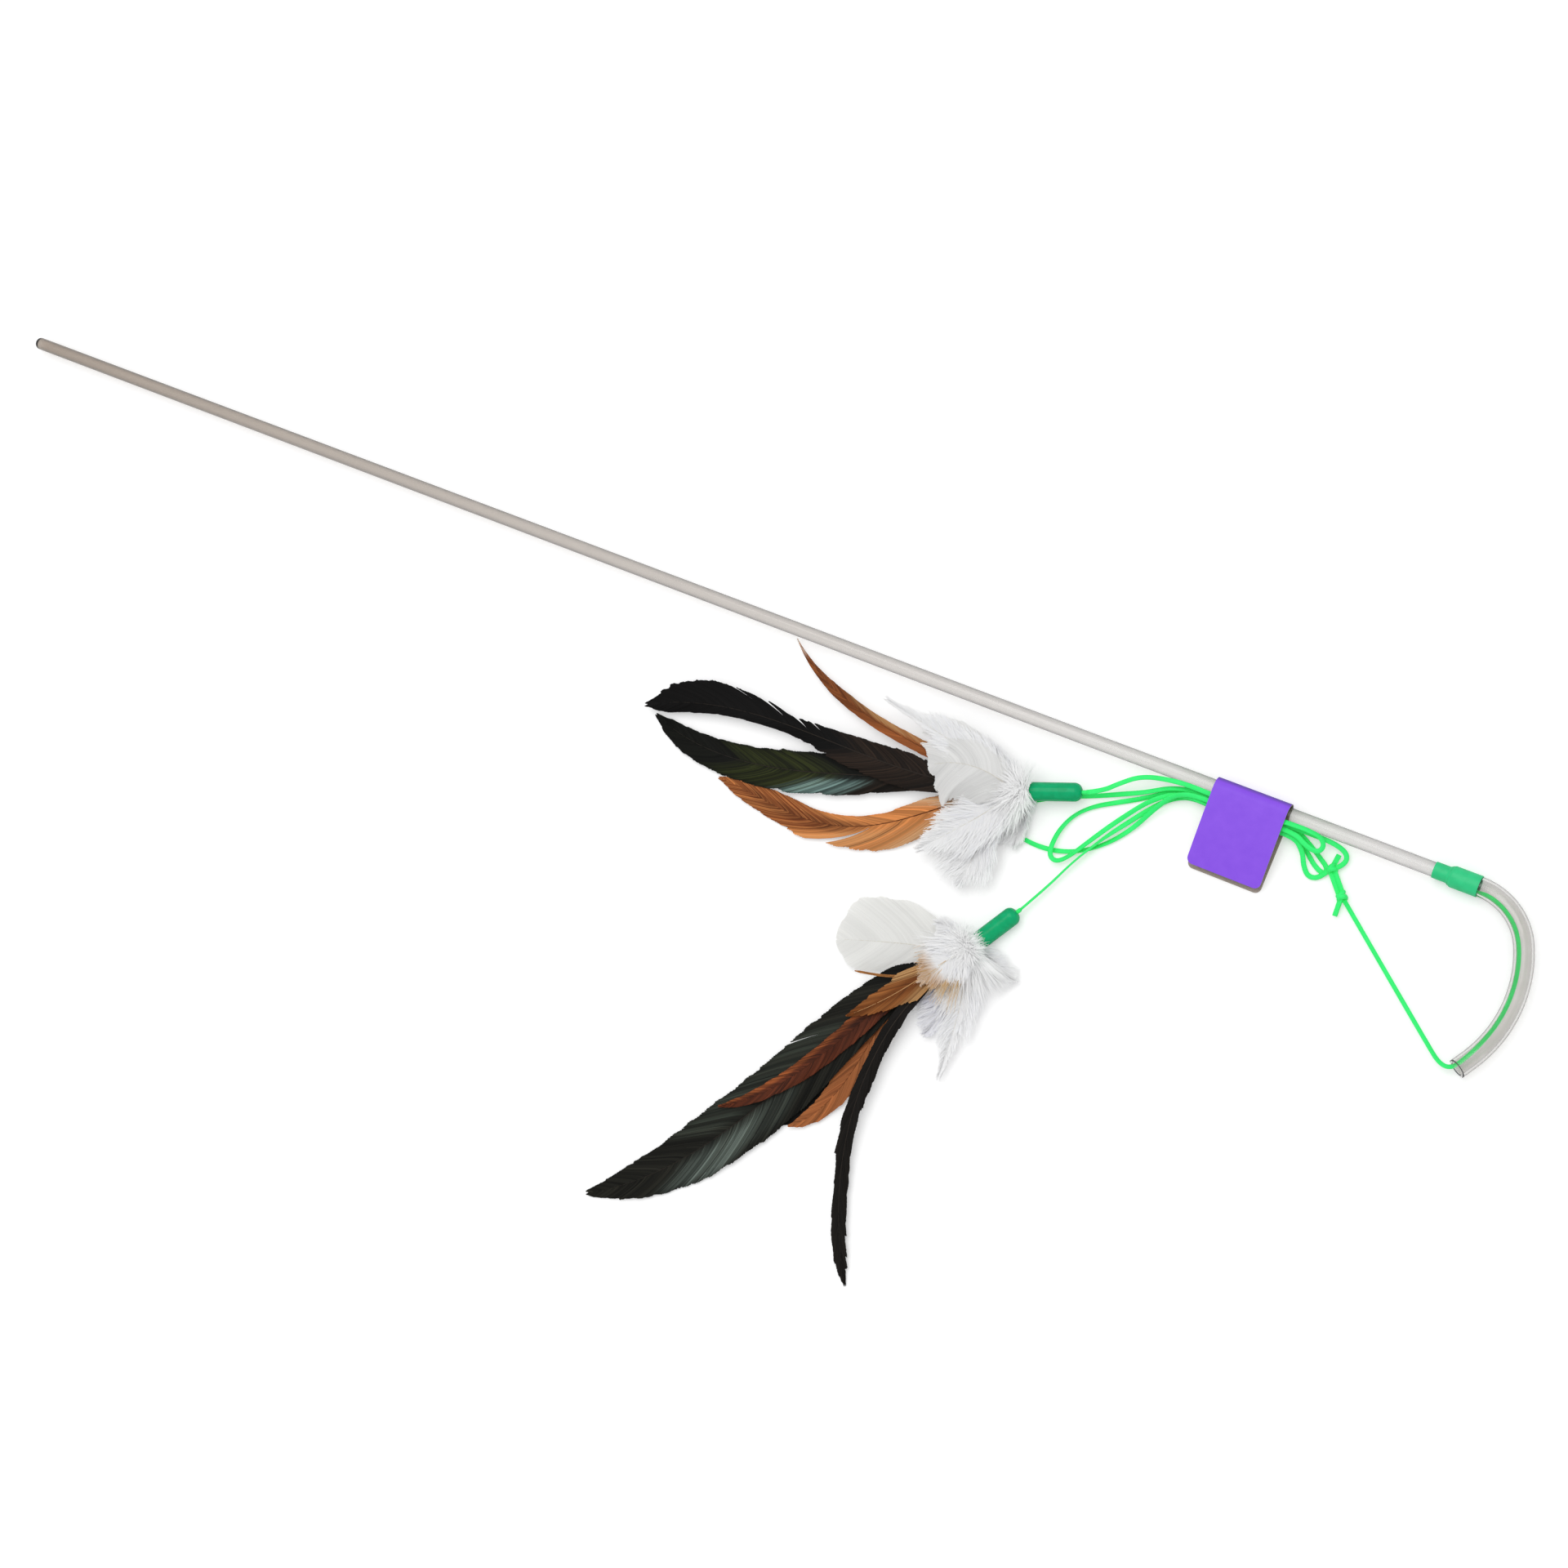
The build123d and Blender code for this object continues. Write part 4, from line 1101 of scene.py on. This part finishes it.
grow_vane("white_over_feather_a", "a", seat(2, 2, 4), 35.4, 23, (-43, 38, 23), (9.6, 8.6),
          (0.3, 0.5, 0.7, 0.9, 1, 1.05, 1.15, 1.2, 1.2, 1.2),
          (0.2, 0.3, 0.4, 0.52, 0.7, 1.0, 1.3, 1.5, 1.55, 1.5),
          white, "#F4F4F3", spacing=0.18, sweep=42, ragged=0.09, blunt=0.06, bare=0.02, droop=0.3,
          quill=white_quill, thick=0.45, contrast=0.025, seed=25)
grow_down("white_mid_feather_a", "a", seat(2, 3, 4), 42, 18, (38, -24, 14), (6.6, 5.4),
          (0.35, 0.5, 0.7, 0.92, 1.05, 0.95, 0.7, 0.4, 0.2, 0.1), count=1100, seed=26)
# Its pale green roots are painted light from the green cap.
grow_tuft("down_tuft_a", "a", 1500, (-60, 88), 15, (3, 12), "#FEFEFE", "#E2F3EB", 27)
grow_tuft("collar_tuft_a", "a", 1000, (-135, 135), 10, (11, 14.5), "#FEFEFE", "#FEFEFE", 29)
grow_tuft("cream_tuft_a", "a", 260, (4, 26), 34, (2, 6), "#EBD9C0", "#EFE7DC", 28)
print("feathers on lure A:", len(feather_pieces))

# %% [markdown]
# ## Lure B
# A long broad dark feather over a second one, a narrow black one that hangs straight, three hackles in ginger and
# brown, a thin filament, one round white feather and more down.

# %% Lure B's vanes
grow_vane("second_dark_feather", "b", seat(0, 0, 4), 92, 13, (-11, 74, -62), (1.2, 0.8),
          tail, tail, black, "#0C0C0A", seed=31, ragged=0.02)
grow_vane("orange_brown_feather", "b", seat(0, 1, 4), 90.8, 11, (-42, 235, -215), (2.2, 1.5),
          hackle, hackle, ginger, "#A66438", seed=32, sweep=20, ragged=0.03, quill="#7A4522",
          patches=[("#8A4A26", 0.3, 0.9, -1, 0.0, 0.5, 0.6)])
# The three grey-green patches are painted sheen and highlight; the dark olive-brown over most of the vane is its own
# colour.
grow_vane("long_dark_feather", "b", seat(1, 2, 5), 166, 21, (-17, 88, -100), (3.4, 0.8),
          (0, 0.08, 0.2, 0.62, 0.95, 1, 0.9, 0.58, 0.24, 0.04),
          (0, 0.5, 0.98, 1, 0.97, 1, 0.9, 0.58, 0.24, 0.04),
          black, "#0B0C09", seed=33, ragged=0.02, contrast=0.28, blunt=0.02, bare=0.05, splits=[(-1, 0.3, 0.004)],
          patches=[("#2B2A23", 0.15, 1.0, 0, 0.0, 1.0, 0.55), ("#84928A", 0.58, 0.7, 1, 0.35, 0.85, 0.5),
                   ("#5A645C", 0.46, 0.72, 1, 0.2, 0.7, 0.35), ("#4C554B", 0.3, 0.62, -1, 0.3, 0.9, 0.35)])
grow_vane("red_brown_feather", "b", seat(1, 3, 5), 106.7, 7.4, (-25, 114, -119), (4.6, 3.4),
          hackle, hackle, brown, "#5A2A16", seed=34, ragged=0.04, contrast=0.25, quill="#4A2412",
          patches=[("#A65A2C", 0.2, 1.0, -1, 0.6, 1.0, 0.8), ("#3A170C", 0.2, 0.6, 0, 0.0, 0.4, 0.6)])
grow_vane("brown_filament", "b", seat(2, 0, 4), 43.3, 0.9, (33, -159, 79), (5.2, 4.8),
          strap, strap, brown, "#A06A36", seed=35, sweep=12, quill="#8A5A2C", thick=0.3)
grow_vane("ginger_feather_b", "b", seat(2, 1, 4), 49, 11, (2, -10, -11), (6.6, 5.8),
          wisp, wisp, ginger, "#744018", seed=36, sweep=15, ragged=0.05, quill="#CF9F6B",
          patches=[("#D8AC74", 0.0, 0.3, 0, 0.1, 1.0, 0.9), ("#B0703A", 0.3, 0.7, 0, 0.6, 1.0, 0.6)])
grow_vane("narrow_black_feather", "b", seat(2, 2, 4), 128, 6, (-4, 82, -13), (5.6, 0.8),
          (0, 0.14, 0.6, 0.85, 1.0, 0.8, 0.95, 0.8, 0.5, 0.1),
          (0, 0.14, 0.6, 0.9, 0.85, 1.0, 0.75, 1.0, 0.7, 0.1),
          black, "#14110F", seed=37, sweep=15, ragged=0.07, patches=[("#1E1A16", 0.55, 1.0, 0, 0.6, 1.0, 0.6)])
print("feathers so far:", len(feather_pieces))

# %% Lure B's down
grow_vane("round_white_feather", "b", seat(1, 1, 5), 48.5, 26, (-46, 8, 0), (3.2, 2.2),
          (0.1, 0.2, 0.3, 0.45, 0.62, 0.74, 0.78, 0.76, 0.7, 0.6),
          (0.1, 0.28, 0.45, 0.8, 1.06, 1.15, 1.16, 1.12, 1.02, 0.85),
          white, "#F7F7F5", spacing=0.22, sweep=40, ragged=0.02, blunt=0.15, bare=0.04, seed=41,
          quill=white_quill, thick=0.45, contrast=0.015)
grow_down("white_side_feather_b", "b", seat(1, 0, 5), 12.5, 15, (-96, 30, 20), (5.4, 5.0),
          fluff, (0.3, 0.4, 0.42, 0.42, 0.4, 0.4, 0.38, 0.32, 0.25, 0.15), count=1000, seed=42)
grow_down("white_low_feather_b", "b", seat(1, 4, 5), 45, 15, (66, -80, 52), (4.2, 2.8),
          (0.35, 0.5, 0.8, 1, 0.85, 0.6, 0.32, 0.14, 0.07, 0.03), count=1000, sweep=30, ragged=0.26, seed=43)
grow_down("white_mid_feather_b", "b", seat(0, 2, 4), 34, 13, (46, -44, 10), (1.1, 0.9),
          fluff, (0.5, 0.75, 1.05, 1.4, 1.6, 1.6, 1.4, 1.05, 0.7, 0.3), colour="#F3F3FC", count=800, seed=44,
          lift=(0, 3))
grow_down("white_right_feather_b", "b", seat(0, 3, 4), 19, 14, (112, 6, 0), (2.2, 1.8),
          spiky, count=900, sweep=26, seed=45)
grow_down("white_top_feather_b", "b", seat(2, 3, 4), 20, 17, (-20, 60, -40), (8.6, 7.8),
          spiky, fluff, count=900, seed=46, tip="#D3A970", lift=(-3.5, 0.6))
# Its pale green roots are painted light from the green cap.
grow_tuft("down_tuft_b", "b", 1500, (-55, 115), 19, (2, 11), "#FEFEFE", "#E2F3EB", 47)
grow_tuft("tan_tuft_b", "b", 230, (-12, 42), 22, (9.5, 12.4), "#E2C69C", "#FEFEFE", 48)
grow_tuft("collar_tuft_b", "b", 1100, (-180, 180), 8, (11, 14.5), "#FEFEFE", "#FEFEFE", 49)
print("feathers:", len(feather_pieces))

# %% [markdown]
# ## Finish
# The dressed wand has to stay in the model's box, apart from a little fluff.

# %% Finish
print("the wand is dressed")
